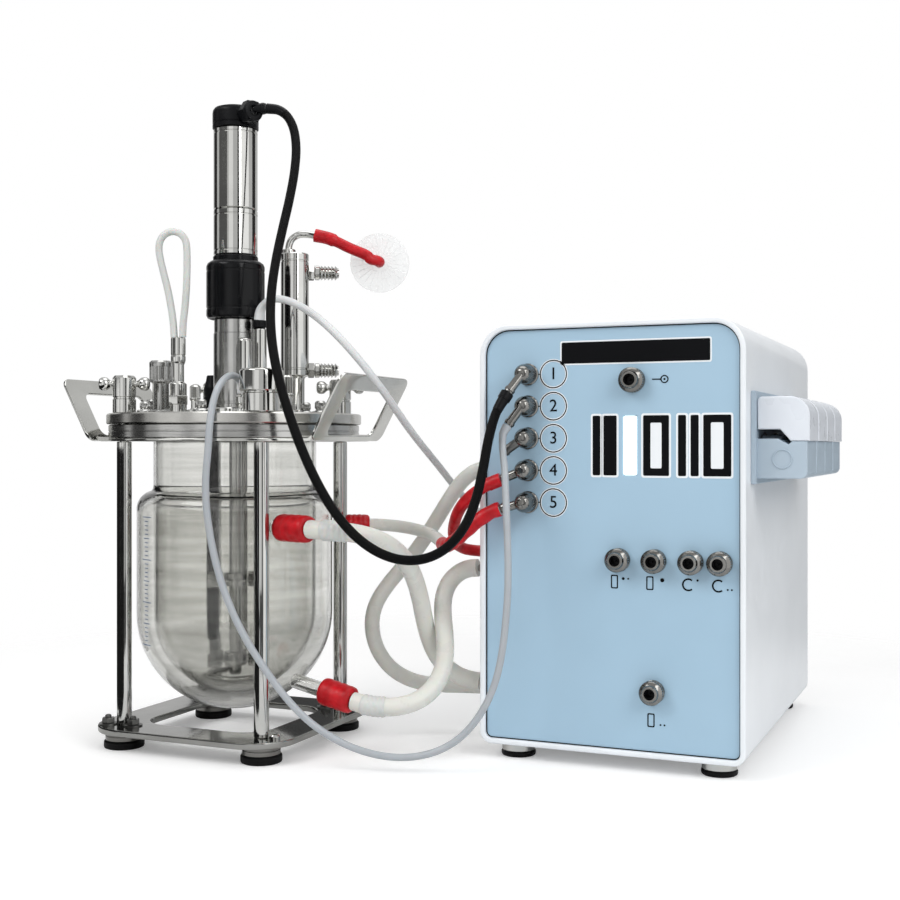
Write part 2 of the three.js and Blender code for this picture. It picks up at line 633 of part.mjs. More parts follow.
// ---------------------------------------------------------------- ports and inner pipes
function sparger() {
  const { x, y, radius, ringRadius, ringZ } = SPARGER;
  const points = [[x, y, HEAD_TOP_Z + 24], [x, y, HEAD_Z - 20], [x, y, ringZ + 60], [x, y, ringZ + 25]];
  const start = Math.atan2(y, x);
  points.push([x * 0.8, y * 0.8, ringZ + 8]);
  for (let k = 1; k <= 10; k += 1) {
    const angle = start + (k * Math.PI) / 6;
    points.push([ringRadius * Math.cos(angle), ringRadius * Math.sin(angle), ringZ]);
  }
  return named('sparger', tube(points, radius, 24, 6), STEEL());
}

function dipProbe() {
  const { x, y, radius, head, headHeight, bottomZ } = PROBE;
  const body = turned([
    [0, bottomZ], [radius - 2, bottomZ], [radius, bottomZ + 4], [radius, PLATE_STAND], [head, PLATE_STAND],
    [head, PLATE_STAND + headHeight - 12], [head - 3, PLATE_STAND + headHeight],
    [0, PLATE_STAND + headHeight],
  ], 14);
  return named('dip_probe', body.translate([x, y, 0]), BLACK());
}

function barb(radius, length) {
  return turned([
    [0, 0], [radius * 0.7, 0], [radius * 0.7, length * 0.3], [radius, length * 0.4],
    [radius * 0.6, length], [0, length],
  ], 7);
}

function condenser() {
  const { x, y, radius, neck, neckHeight, height } = CONDENSER;
  const column = turned([
    [0, 0], [neck, 0], [neck, neckHeight], [radius, neckHeight], [radius, height], [0, height],
  ], 20);
  const barbs = CONDENSER_BARB_Z.map((z) => laid(barb(7.5, radius + 31), [0, 0, z], [0.85, 0.53, 0]));
  return named('condenser', join(column, ...barbs).translate([x, y, PLATE_STAND]), BRIGHT_STEEL());
}

const CONDENSER_TOP_Z = PLATE_STAND + CONDENSER.height;
// The vent runs to the right of the condenser: rise, bend, red sleeve, then the disc filter.
const VENT_WAY = [0.919, 0.394];

function ventPoint(along, back, z) {
  return [
    CONDENSER.x + along * VENT_WAY[0] - back * VENT_WAY[1],
    CONDENSER.y + along * VENT_WAY[1] + back * VENT_WAY[0],
    z,
  ];
}

const VENT_SLEEVE_START = 20;
const FILTER_ALONG = 86;
const FILTER_BACK = 16;
const FILTER_Z = CONDENSER_TOP_Z - 7;

function ventTube() {
  const points = [
    ventPoint(-6, 0, CONDENSER_TOP_Z + FIT), ventPoint(-6, 0, CONDENSER_TOP_Z + 8),
    ventPoint(-3, 0, CONDENSER_TOP_Z + 15), ventPoint(4, 0, CONDENSER_TOP_Z + 19.5),
    ventPoint(12, 0, CONDENSER_TOP_Z + 20), ventPoint(VENT_SLEEVE_START, 0, CONDENSER_TOP_Z + 19),
  ];
  return named('vent_tube', tube(points, VENT_TUBE_RADIUS, 12), STEEL());
}

function ventSleeve() {
  const start = VENT_SLEEVE_START + FIT;
  const points = [
    ventPoint(start, 0, CONDENSER_TOP_Z + 19), ventPoint(start + 14, 0, CONDENSER_TOP_Z + 16),
    ventPoint(start + 36, 0, CONDENSER_TOP_Z + 6), ventPoint(start + 54, 0, CONDENSER_TOP_Z - 2),
    ventPoint(FILTER_ALONG - 9, 0.2, FILTER_Z + 2), ventPoint(FILTER_ALONG - 3, 2.6, FILTER_Z + 0.8),
    ventPoint(FILTER_ALONG - 0.4, 7, FILTER_Z + 0.2),
    ventPoint(FILTER_ALONG, FILTER_BACK - FILTER_THICKNESS / 2 - 2 * FIT, FILTER_Z),
  ];
  return named('vent_sleeve', tube(points, VENT_SLEEVE_RADIUS, 12, 10), SILICONE_RED());
}

function ventFilter() {
  const half = FILTER_THICKNESS / 2;
  const body = turned([
    [0, -half], [FILTER_RADIUS - 6, -half + 1], [FILTER_RADIUS, -1.5], [FILTER_RADIUS, 1.5],
    [FILTER_RADIUS - 6, half - 1], [4, half], [3, half + 12], [0, half + 12],
  ], 20);
  const placed = laid(body, ventPoint(FILTER_ALONG, FILTER_BACK, FILTER_Z), [-VENT_WAY[1], VENT_WAY[0], 0]);
  return named('vent_filter', placed, GLASS());
}

function sidePortCap() {
  const { x, y, radius, height } = SIDE_PORT;
  const body = turned([
    [0, 0], [radius - 3, 0], [radius - 3, height - 22], [radius, height - 21], [radius, height - 2],
    [radius - 2, height], [0, height],
  ], 18);
  return named('side_port_cap', body.translate([x, y, PLATE_STAND]), STEEL());
}

function samplePort() {
  const { x, y, radius, height } = SAMPLE_PORT;
  const body = turned([
    [0, 0], [radius + 1, 0], [radius + 1, height * 0.4], [radius - 1.5, height * 0.42],
    [radius, height * 0.7], [radius, height], [0, height],
  ], 14);
  return named('sample_port', body.translate([x, y, PLATE_STAND]), STEEL());
}

// ---------------------------------------------------------------- control unit
// Local frame: left wall at x = 0, front at y = 0, floor at z = 0.
const UNIT_LOW = UNIT_FOOT_HEIGHT;
const UNIT_TOP = UNIT_FOOT_HEIGHT + UNIT_HEIGHT;

function unitOutline(inset) {
  const [left, right] = [inset, UNIT_WIDTH - inset];
  const [bottom, top] = [UNIT_LOW + inset, UNIT_TOP - inset];
  return roundedRectangle(left, right, bottom, top, UNIT_CORNER - inset, UNIT_LOW_CORNER - inset);
}

function controllerHousing() {
  const outside = alongY(unitOutline(0), 0, UNIT_DEPTH, 4);
  const inside = alongY(unitOutline(UNIT_WALL), -1, UNIT_DEPTH - UNIT_WALL + 1, 4);
  const feet = [];
  for (const x of [UNIT_FOOT_INSET, UNIT_WIDTH - UNIT_FOOT_INSET]) {
    for (const y of [UNIT_FOOT_INSET, UNIT_DEPTH - UNIT_FOOT_INSET]) {
      feet.push(cylinder(UNIT_FOOT_RADIUS, 0, UNIT_LOW + 1, 12).translate([x, y, 0]));
    }
  }
  const barbs = WALL_BARBS.map(({ back, z }) => (
    laid(barb(WALL_BARB_RADIUS, WALL_BARB_REACH + 1), [1, back, z], [-1, 0, 0])));
  const well = inletBlock(INLET.wall, UNIT_DEPTH - 1);
  const shell = join(outside.subtract(inside), well).subtract(inletBlock(0, UNIT_DEPTH + 1));
  return named('controller_housing', join(shell, ...feet, ...barbs), SHELL_WHITE());
}

// The mains inlet's recess in the back wall, or with a margin the well round it.
function inletBlock(margin, back) {
  const { x, z, width, height, depth } = INLET;
  const [halfWidth, halfHeight] = [width / 2 + margin, height / 2 + margin];
  return box(
    x - halfWidth, x + halfWidth, UNIT_DEPTH - depth - margin, back, z - halfHeight, z + halfHeight);
}

function socket(x, z, radius, reach) {
  const nose = radius * 0.62;
  const profile = [
    [0, -1], [radius, -1], [radius, reach - 4], [nose, reach],
    [nose - 2, reach], [nose - 2, reach - PORT_DEPTH], [0, reach - PORT_DEPTH],
  ];
  return laid(turned(profile, 8), [x, PANEL_RECESS, z], [0, -1, 0]);
}

// A domed nut on the panel with an elbow out of its side.
function columnSocket(z, row) {
  const profile = [
    [0, -1], [SOCKET_FLANGE, -1], [SOCKET_FLANGE, 3], [SOCKET_NUT, 4], [SOCKET_NUT, SOCKET_REACH - 8],
    [SOCKET_NUT - 1.4, SOCKET_REACH - 3], [SOCKET_NUT - 4.6, SOCKET_REACH], [0, SOCKET_REACH],
  ];
  const nut = laid(turned(profile, 10), [SOCKET_COLUMN_X, PANEL_RECESS, z], [0, -1, 0]);
  const { front, way } = SOCKET_ARMS[row];
  const arm = cylinder(SOCKET_ARM_RADIUS, 0, SOCKET_ARM_LENGTH, 10);
  return join(nut, laid(arm, [SOCKET_COLUMN_X, PANEL_RECESS - front, z], way));
}

function frontPanel() {
  const front = PANEL_RECESS;
  const face = alongY(unitOutline(UNIT_WALL + FIT), front, PANEL_THICKNESS, 4);
  const { x, z, width, height } = STATUS_BAR;
  const window = box(
    x - width / 2, x + width / 2, front - 1, front + PANEL_THICKNESS + 1, z - height / 2, z + height / 2);
  const sockets = [
    ...SOCKET_COLUMN_Z.map(columnSocket),
    socket(TOP_SOCKET.x, TOP_SOCKET.z, TOP_SOCKET.radius, PORT_REACH),
    ...ROW_SOCKETS.x.map((across) => socket(across, ROW_SOCKETS.z, ROW_SOCKETS.radius, PORT_REACH)),
    socket(LOW_SOCKET.x, LOW_SOCKET.z, LOW_SOCKET.radius, PORT_REACH),
  ];
  return named('front_panel', join(face.subtract(window), ...sockets), PANEL_BLUE());
}

function statusBar() {
  const { x, z, width, height } = STATUS_BAR;
  const shape = roundedRectangle(
    x - width / 2 + FIT, x + width / 2 - FIT, z - height / 2 + FIT, z + height / 2 - FIT, 2);
  const bar = alongY(shape, PANEL_RECESS - 0.5, PANEL_THICKNESS, 2);
  return named('status_bar', bar, finish(0xffffff, 0.3, 0));
}

// ---------------------------------------------------------------- pumps
// Local frame: the unit's right wall at x = 0, the pump's middle at y = 0.
const HINGE_Z = PUMP_TOP_Z - HINGE_BELOW_TOP;
const PUMP_X0 = FIT + PUMP_PLATE;
const SLOT_TOP_Z = PUMP_LIP_Z + 10;
const SLOT_LOW_Z = SLOT_TOP_Z - PUMP_SLOT;
const TRACK_RADIUS = ROTOR_RADIUS + ROTOR_TRACK_GAP;
const ROTOR_X = PUMP_X0 + 1;

function pumpBody() {
  const outer = PUMP_REACH - 2;
  const shape = new THREE.Shape();
  shape.moveTo(PUMP_X0 - 1, PUMP_BOTTOM_Z);
  shape.lineTo(outer - 6, PUMP_BOTTOM_Z);
  shape.absarc(outer - 6, PUMP_BOTTOM_Z + 6, 6, -Math.PI / 2, 0, false);
  shape.lineTo(outer, PUMP_LIP_Z - FIT);
  shape.lineTo(PUMP_LIP_START + 1, PUMP_LIP_Z - FIT);
  shape.lineTo(PUMP_LIP_START - 2, PUMP_LIP_Z - 3);
  shape.lineTo(PUMP_SLANT_START - 2, SLOT_LOW_Z);
  shape.lineTo(PUMP_X0 - 1, SLOT_LOW_Z);
  const block = alongY(shape, -PUMP_WIDTH / 2, PUMP_WIDTH, 3);
  const pocket = laid(
    cylinder(TRACK_RADIUS, 0, ROTOR_LENGTH + 2, 14), [ROTOR_X - 0.6, 0, ROTOR_Z], [1, 0, 0]);
  const spindle = laid(
    cylinder(SPINDLE_RADIUS, 0, ROTOR_LENGTH + 2, 8), [PUMP_X0 - 2, 0, ROTOR_Z], [1, 0, 0]);
  return block.subtract(pocket).add(spindle);
}

function pumpY(k) {
  return PUMP_FIRST_Y + k * PUMP_PITCH;
}

function pumpBlock() {
  const first = PUMP_FIRST_Y - PUMP_WIDTH / 2;
  const last = pumpY(PUMP_COUNT - 1) + PUMP_WIDTH / 2;
  const margin = PUMP_PLATE_MARGIN;
  const back = box(FIT, PUMP_X0, first - margin, last + margin, PUMP_BOTTOM_Z - margin, PUMP_TOP_Z + margin);
  const bodies = [];
  const lugs = [];
  for (let k = 0; k < PUMP_COUNT; k += 1) bodies.push(pumpBody().translate([0, pumpY(k), 0]));
  for (let k = 0; k <= PUMP_COUNT; k += 1) {
    const y = pumpY(k) - PUMP_PITCH / 2;
    const half = LUG_THICKNESS / 2;
    lugs.push(box(PUMP_X0 - 1, HINGE_OUT + 3.5, y - half, y + half, HINGE_Z - 4, HINGE_Z + 3.5));
  }
  const pin = laid(
    cylinder(HINGE_PIN_RADIUS, 0, PUMP_COUNT * PUMP_PITCH, 10),
    [HINGE_OUT, PUMP_FIRST_Y - PUMP_PITCH / 2, HINGE_Z], [0, 1, 0]);
  return named('pump_block', join(back, ...bodies, ...lugs, pin), PUMP_GREY());
}

// The cover's frame is its hinge: x outwards and z up from the pin's axis.
function pumpCover(k) {
  const top = HINGE_BELOW_TOP;
  const reach = PUMP_REACH - HINGE_OUT;
  const low = PUMP_LIP_Z - HINGE_Z;
  const under = SLOT_TOP_Z - HINGE_Z;
  const round = PUMP_ROUND;
  const shape = new THREE.Shape();
  shape.moveTo(0, under);
  shape.lineTo(PUMP_SLANT_START - HINGE_OUT, under);
  shape.lineTo(PUMP_LIP_START - HINGE_OUT, low);
  shape.lineTo(reach, low);
  shape.lineTo(reach, top - round);
  shape.absarc(reach - round, top - round, round, 0, Math.PI / 2, false);
  shape.lineTo(0, top);
  const half = PUMP_WIDTH / 2;
  const knuckle = laid(cylinder(top, 0, PUMP_WIDTH, 16), [0, -half, 0], [0, 1, 0]);
  const pinHole = laid(cylinder(HINGE_PIN_RADIUS + RUN, -1, PUMP_WIDTH + 2, 12), [0, -half, 0], [0, 1, 0]);
  const track = laid(
    cylinder(TRACK_RADIUS, 0, ROTOR_LENGTH + 3, 16),
    [ROTOR_X - HINGE_OUT - 1.5, 0, ROTOR_Z - HINGE_Z], [1, 0, 0]);
  const body = alongY(shape, -half, PUMP_WIDTH, 6).add(knuckle).subtract(join(pinHole, track));
  const mesh = named(`pump_cover_${k + 1}`, body, SHELL_WHITE());
  mesh.position.set(HINGE_OUT, pumpY(k), HINGE_Z);
  return mesh;
}

// Three rollers on a cheek, in the rotor's own frame with its axis along x.
function pumpRotor(k) {
  const hub = cylinder(SPINDLE_RADIUS + 3, 0, ROTOR_LENGTH, 8);
  const cheek = cylinder(ROTOR_RADIUS - ROLLER_RADIUS + 2, 0, 2, 12);
  const rollers = [0, 1, 2].map((n) => (
    cylinder(ROLLER_RADIUS, 0, ROTOR_LENGTH, 6)
      .translate([ROTOR_RADIUS - ROLLER_RADIUS, 0, 0]).rotate([0, 0, 120 * n])));
  const body = join(hub, cheek, ...rollers);
  const bored = body.subtract(cylinder(SPINDLE_RADIUS + RUN, -1, ROTOR_LENGTH + 1, 8));
  const mesh = named(`pump_rotor_${k + 1}`, laid(bored, [0, 0, 0], [1, 0, 0]), BLACK());
  mesh.position.set(ROTOR_X, pumpY(k), ROTOR_Z);
  return mesh;
}

// ---------------------------------------------------------------- cords and hoses
// Routes are points in the model's own frame, from the first fitting to the last.
const MOTOR_CABLE = [
  [-152.1, -142.9, 613.2], [-141.2, -140.1, 611.3], [-132.2, -139.3, 605], [-124.2, -140.8, 592.5],
  [-118.2, -145.7, 572.5], [-115.4, -153.6, 547.3], [-115, -163.7, 519], [-115.8, -175.2, 488.7],
  [-115.7, -186.6, 459.9], [-113.6, -197.5, 432.7], [-109, -207.8, 406.1], [-102.2, -216.2, 379.9],
  [-93.6, -222.1, 353.8], [-83.6, -225.3, 327.1], [-72.5, -226.2, 299.3], [-60.3, -225.4, 271.7],
  [-47, -223.2, 246.3], [-32.5, -219.7, 224.2], [-16.7, -214.7, 206.6], [-0.1, -208.5, 194.4],
  [16.6, -201.9, 188.1], [32.8, -195.3, 187.6], [47.5, -189, 192.6], [60.2, -183.2, 203],
  [70.4, -177.6, 218.8], [77.5, -172, 240.1], [81.5, -165.4, 266.3], [83.9, -157, 294.4],
  [87.6, -148, 317.2], [94.6, -139.1, 334.3],
];
const SENSOR_CABLE = [
  [-151, -188.8, 336.6], [-150.9, -189.8, 342.7], [-150.6, -193.9, 347.8], [-150, -201.7, 351.3],
  [-148.9, -213, 351.4], [-147.3, -226.7, 346.4], [-145.3, -239.9, 336.5], [-143.4, -249.5, 323.6],
  [-142.3, -255.4, 307.2], [-142.2, -258.4, 284.9], [-143.7, -259.8, 258], [-143.4, -259.2, 233.3],
  [-140.6, -257.1, 207], [-135.6, -254.9, 181.4], [-128.1, -252.6, 156.7], [-118.3, -249.5, 132.8],
  [-106.5, -245.2, 109.8], [-92.4, -239.6, 86.8], [-77.2, -233.7, 65.2], [-62.2, -227.9, 48.4],
  [-44.9, -221.1, 34.4], [-26.4, -213.7, 23.8], [-6.7, -206.1, 16.9], [13.1, -198.6, 14],
  [31.5, -192.2, 15.4], [49, -187.2, 21], [64.4, -183.5, 30.5], [77.6, -180.2, 44.2],
  [89.2, -177.6, 62.4], [97.4, -175.7, 82.6], [102.5, -174.2, 105.7], [105.6, -172.7, 132.8],
  [107, -171, 160.4], [106.5, -168.9, 187.7], [104.4, -165.6, 215], [101.5, -160.8, 240.6],
  [97.7, -153.8, 265.4], [92.5, -145.4, 286.9], [91.1, -139.7, 298.7], [93.5, -136.8, 304.8],
];
const PROBE_CABLE = [
  [-163, -138.8, 409.6], [-161.9, -139.1, 417.6], [-158.4, -140.2, 423], [-152.2, -142.1, 426.8],
  [-141.5, -145.4, 428.4], [-126, -150, 425.9], [-107.8, -155.2, 419], [-89.2, -160, 408.6],
  [-71.6, -163.4, 395.9], [-56.4, -164.5, 382.2], [-44.4, -162.6, 368.9], [-35.4, -157.7, 356.4],
  [-29, -149.5, 344.2], [-24.7, -137.4, 331.7], [-22.4, -121, 318.6], [-21.5, -100.7, 305.3],
  [-21.1, -77.5, 292], [-20.2, -53.8, 278.8], [-18.5, -32.1, 265.8], [-15.8, -12.6, 252.3],
  [-11.4, 4.4, 238.5], [-5, 18, 226], [3.4, 27.9, 216.2], [13.5, 34.4, 209.3], [25.2, 38.1, 205.3],
  [38.6, 39.2, 204],
];
const SAMPLE_LOOP = [
  [-225.5, -190.8, 390.7], [-226.6, -191, 404.8], [-228.7, -191.6, 420.2], [-231.4, -192.4, 434.7],
  [-235.2, -193.5, 450.6], [-238.7, -194.6, 465.4], [-240, -195, 474.7], [-239.6, -194.9, 480.5],
  [-238.2, -194.6, 484.5], [-236.1, -194, 487.6], [-233.3, -193.2, 489.9], [-230, -192.3, 491.3],
  [-226.3, -191.3, 491.7], [-222.7, -190.2, 491], [-219.5, -189.4, 489.4], [-216.9, -188.7, 486.9],
  [-214.9, -188.2, 483.5], [-213.5, -188, 478.3], [-213, -187.9, 467.8], [-213, -188.1, 451.2],
  [-213.3, -188.7, 434.9], [-214.2, -189.5, 419.7], [-215.5, -190.5, 403.9], [-216, -190.8, 390.7],
];
const UPPER_HOSE = [
  [-71.4, -202.5, 212], [-59.9, -205.1, 212], [-49.3, -205.1, 211.7], [-39.5, -202.5, 210.9],
  [-30.5, -197.7, 209.5], [-22.4, -190.3, 207.1], [-15.4, -180.7, 203.4], [-9.8, -169.4, 198],
  [-5.9, -157.3, 190.8], [-3.5, -145.2, 181.6], [-2.4, -133.7, 170.6], [-2.4, -122.8, 157.7],
  [-3.1, -112.6, 142.9], [-4.1, -102.7, 125.9], [-4.2, -93.6, 109.2], [-2.7, -85.7, 94.8],
  [0.7, -78.9, 83.2], [5.6, -73.3, 74.2], [12, -68.8, 67.8], [19.5, -65.5, 63.4], [28.4, -63.4, 60.8],
  [38.6, -62.8, 60],
];
const LOWER_HOSE = [
  [-45.4, -167.3, 53], [-32, -167.6, 50.7], [-19.3, -165.6, 49.7], [-7.9, -161.7, 49.8],
  [2, -156.1, 51.4], [10.1, -149.2, 54.5], [16.3, -141.7, 59.3], [20.6, -133.6, 65.7],
  [22.9, -125.3, 74], [22.9, -116.9, 84], [20.6, -108.1, 96], [15.8, -98.8, 110.6],
  [10.3, -89.7, 126.4], [7.8, -83.2, 138.5], [8.2, -78.6, 147.8], [10.8, -75.2, 155.2],
  [15.3, -72.8, 161.2], [21.6, -71, 166], [29.6, -70, 169.1], [38.6, -69.8, 170],
];
const LOOP_HOSE = [
  [38.6, -0.8, 266], [27.2, -1.9, 265.8], [18.2, -5.1, 264.4], [10.5, -9.9, 261.1],
  [3.3, -16.2, 254.7], [-3.7, -23.2, 244.4], [-11, -29.1, 231], [-20.6, -34.1, 213.5],
  [-30.4, -39.3, 196], [-40, -45.8, 180.3], [-51, -53.3, 164.5], [-62, -58.8, 149.7],
  [-70.7, -61.9, 136.3], [-76.1, -62.9, 124.1], [-78.8, -62.4, 111.9], [-78.9, -60.5, 98.7],
  [-76.4, -57.5, 85.6], [-71.5, -53.4, 73.8], [-64.5, -48.5, 63.8], [-55.6, -42.7, 55.9],
  [-45, -36.6, 50.3], [-32.4, -30.3, 47], [-17.1, -24.5, 45.7], [0.4, -19.8, 45.7], [18.3, -17.3, 46],
  [38.6, -16.8, 46],
];
const REAR_HOSE = [
  [-82.4, -73.4, 209], [-67.7, -66.5, 208.6], [-54.4, -62.4, 207.6], [-42, -61, 206.2],
  [-30.4, -62.2, 204.5], [-19.5, -65.9, 202.6], [-9.4, -72.1, 200.5], [0.3, -81.2, 198.1],
  [9.9, -93.8, 195.8], [19.4, -108.2, 194.3], [27.3, -119.3, 194.8], [34.2, -126.6, 197],
  [40.6, -131.3, 200.5], [47.1, -133.8, 205.2], [54.7, -134.1, 211.7], [64.7, -131.7, 220.2],
  [74.8, -128.5, 227], [82.9, -127.1, 230],
];
const RED_TUBE = [
  [83.7, -127, 256.7], [72.5, -128.9, 252], [63.4, -130.1, 246.9], [56.2, -129.5, 242.1],
  [49.6, -127.1, 236.9], [43, -122.7, 230.9], [36.4, -115.9, 224.2], [29.9, -106.6, 216.5],
  [23.9, -95.7, 208.5], [19.3, -84.5, 201.1], [16.6, -74.5, 195.2], [16, -66.2, 191],
  [17, -59.5, 188.2], [19.3, -54.3, 186.3], [22.6, -50.2, 185.2], [26.8, -47.2, 184.5],
  [32.2, -45.3, 184.1], [38.6, -44.8, 184],
];

function cord(name, points, radius, steps, material, sides = 8) {
  return named(name, tube(points, radius, steps, sides), material);
}

// ---------------------------------------------------------------- assembly
function vesselGroup() {
  const group = new THREE.Group();
  group.position.set(VESSEL_X, VESSEL_Y, 0);
  group.add(basePlate());
  for (const [side, sx, sy] of CORNERS) {
    const nut = side === 'front_right' ? capNut(side) : clampNut(side);
    const stack = [standFoot(side), standRod(side), nut];
    for (const piece of stack) piece.position.set(sx * ROD_OFFSET, sy * ROD_OFFSET, 0);
    nut.position.z = PLATE_STAND;
    group.add(...stack);
  }
  group.add(liftRing(), flangeRing(), glassVessel(), gasket(), headPlate());
  group.add(bearingHub(), couplingSleeve(), gearbox(), motor());
  const cap = motorCap();
  group.add(cap.mesh, motorPlug(cap.bossEnd));
  group.add(stirrerShaft());
  IMPELLER_Z.forEach((z, k) => group.add(impeller(k === 0 ? 'impeller_lower' : 'impeller_upper', z)));
  group.add(sparger(), dipProbe(), condenser(), ventTube(), ventSleeve(), ventFilter());
  group.add(sidePortCap(), samplePort());
  group.add(
    collar('collar_upper', ARMS.upper, JACKET_HOSE_RADIUS),
    collar('collar_lower', ARMS.lower, JACKET_HOSE_RADIUS),
    collar('collar_rear', ARMS.rear, REAR_HOSE_RADIUS),
  );
  return group;
}

function unitGroup() {
  const group = new THREE.Group();
  group.position.set(UNIT_X, UNIT_Y, 0);
  group.add(controllerHousing(), frontPanel(), statusBar());
  const pumps = new THREE.Group();
  pumps.position.x = UNIT_WIDTH;
  pumps.add(pumpBlock());
  for (let k = 0; k < PUMP_COUNT; k += 1) pumps.add(pumpCover(k), pumpRotor(k));
  group.add(pumps);
  return group;
}

function cordGroup() {
  const group = new THREE.Group();
  group.add(
    cord('motor_cable', MOTOR_CABLE, MOTOR_CABLE_RADIUS, 32, BLACK()),
    cord('sensor_cable', SENSOR_CABLE, SENSOR_CABLE_RADIUS, 42, CABLE_GREY()),
    cord('probe_cable', PROBE_CABLE, PROBE_CABLE_RADIUS, 26, CABLE_GREY()),
    cord('sample_loop', SAMPLE_LOOP, SAMPLE_LOOP_RADIUS, 20, HOSE()),
    cord('hose_upper', UPPER_HOSE, JACKET_HOSE_RADIUS, 14, HOSE(), 10),
    cord('hose_lower', LOWER_HOSE, JACKET_HOSE_RADIUS, 12, HOSE(), 10),
    cord('hose_loop', LOOP_HOSE, LOOP_HOSE_RADIUS, 20, HOSE()),
    cord('hose_rear', REAR_HOSE, REAR_HOSE_RADIUS, 18, HOSE()),
    cord('red_tube', RED_TUBE, RED_TUBE_RADIUS, 16, SILICONE_RED()),
  );
  return group;
}

const bioreactor = new THREE.Group();
bioreactor.add(vesselGroup(), unitGroup(), cordGroup());

export default bioreactor;
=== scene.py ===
"""Looks of a bench bioreactor: a jacketed glass vessel in a rod stand, cabled and piped to its control unit."""
import json
import math

import bmesh
import bpy
from mathutils import Matrix, Vector, noise

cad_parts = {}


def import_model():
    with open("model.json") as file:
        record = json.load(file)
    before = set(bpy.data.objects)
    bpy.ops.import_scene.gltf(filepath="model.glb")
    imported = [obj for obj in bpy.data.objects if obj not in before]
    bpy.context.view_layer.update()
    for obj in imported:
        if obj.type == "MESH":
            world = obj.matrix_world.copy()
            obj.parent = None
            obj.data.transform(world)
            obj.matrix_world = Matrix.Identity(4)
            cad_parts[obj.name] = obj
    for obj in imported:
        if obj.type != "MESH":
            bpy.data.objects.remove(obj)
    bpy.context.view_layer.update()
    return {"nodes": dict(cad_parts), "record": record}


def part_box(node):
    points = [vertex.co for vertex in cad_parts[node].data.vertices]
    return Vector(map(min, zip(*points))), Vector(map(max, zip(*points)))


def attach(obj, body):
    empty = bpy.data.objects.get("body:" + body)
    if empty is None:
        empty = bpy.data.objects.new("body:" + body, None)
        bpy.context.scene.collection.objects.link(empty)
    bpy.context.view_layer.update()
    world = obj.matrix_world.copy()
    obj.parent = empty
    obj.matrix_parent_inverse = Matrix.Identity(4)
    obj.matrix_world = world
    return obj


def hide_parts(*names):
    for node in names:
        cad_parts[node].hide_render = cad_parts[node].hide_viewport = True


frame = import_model()

MM = 0.001
ROOT = "stand_and_unit"


def low(node):
    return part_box(node)[0] * 1000


def high(node):
    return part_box(node)[1] * 1000


def levels(node):
    return low(node).z, high(node).z


# ---------------------------------------------------------------- places, in millimetres, from the frame
AX, AY, _ = (low("stirrer_shaft") + high("stirrer_shaft")) / 2
BASE_Z, BASE_TOP = levels("base_plate")
RING_Z = high("stand_rod_front_left").z
ROD = 76.0
LIFT_Z = low("lift_ring").z
FLANGE_Z, FLANGE_TOP = levels("flange_ring")
HEAD_Z = low("head_plate").z
HEAD_TOP = HEAD_Z + 10.0
PROBE_X, PROBE_Y = AX - 40, AY + 20
STAND_Z = low("bearing_hub").z
UNIT_X = low("front_panel").x - 5.3
UNIT_Y = low("status_bar").y - 3.5
UNIT_W = high("controller_housing").x - UNIT_X
UNIT_D = 373.0
UNIT_LOW = 14.0
UNIT_TOP = high("controller_housing").z
PANEL_Y = UNIT_Y + 4.0
PUMP_WALL = high("controller_housing").x


# ---------------------------------------------------------------- camera
def aim(obj, target):
    obj.rotation_euler = (Vector(target) - obj.location).to_track_quat("-Z", "Y").to_euler()


def add(obj):
    bpy.context.scene.collection.objects.link(obj)
    return obj


camera = add(bpy.data.objects.new("camera", bpy.data.cameras.new("camera")))
camera.location = (0.5057, -1.2281, 0.288)
camera.data.sensor_width = 36
camera.data.lens = 52
camera.data.shift_y = -0.0056
aim(camera, camera.location + Vector((-0.394, 0.919, 0)))
bpy.context.scene.camera = camera


# ---------------------------------------------------------------- shapes, in millimetres
class Shape:
    """Vertices and faces that grow piece by piece."""

    def __init__(self, verts=(), faces=()):
        self.verts = [Vector(v) for v in verts]
        self.faces = [tuple(f) for f in faces]

    def join(self, *others):
        for other in others:
            start = len(self.verts)
            self.verts += [v.copy() for v in other.verts]
            self.faces += [tuple(i + start for i in f) for f in other.faces]
        return self

    def moved(self, matrix):
        return Shape([matrix @ v for v in self.verts], self.faces)

    def at(self, x, y, z=0.0):
        return self.moved(Matrix.Translation((x, y, z)))

    def turned(self, degrees):
        return self.moved(Matrix.Rotation(math.radians(degrees), 4, "Z"))


def laid(shape, start, direction):
    turn = Vector((0, 0, 1)).rotation_difference(Vector(direction)).to_matrix().to_4x4()
    return shape.moved(Matrix.Translation(start) @ turn)


def rise(level, profile):
    """The [radius, height] points of a profile, moved up to a level."""
    return [(radius, level + z) for radius, z in profile]


def revolve(profile, segments=64, teeth=0, depth=0.0, bounds=(0, 0), closed=False):
    """Turns [radius, height] points about Z; teeth of that depth stand between the two heights."""
    shape = Shape()
    rings = []
    for radius, z in profile:
        count = 1 if radius < 1e-6 else segments
        ring = range(len(shape.verts), len(shape.verts) + count)
        for k in ring:
            angle = 2 * math.pi * (k - ring[0]) / segments
            cut = depth * (0.5 + 0.5 * math.cos(teeth * angle)) if bounds[0] < z < bounds[1] else 0
            shape.verts.append(Vector(((radius - cut) * math.cos(angle), (radius - cut) * math.sin(angle), z)))
        rings.append(ring)
    if closed:
        rings.append(rings[0])
    for a, b in zip(rings, rings[1:]):
        for k in range(segments if max(len(a), len(b)) > 1 else 0):
            j = (k + 1) % segments
            if len(a) == 1:
                shape.faces.append((a[0], b[j], b[k]))
            elif len(b) == 1:
                shape.faces.append((a[k], a[j], b[0]))
            else:
                shape.faces.append((a[k], a[j], b[j], b[k]))
    return shape


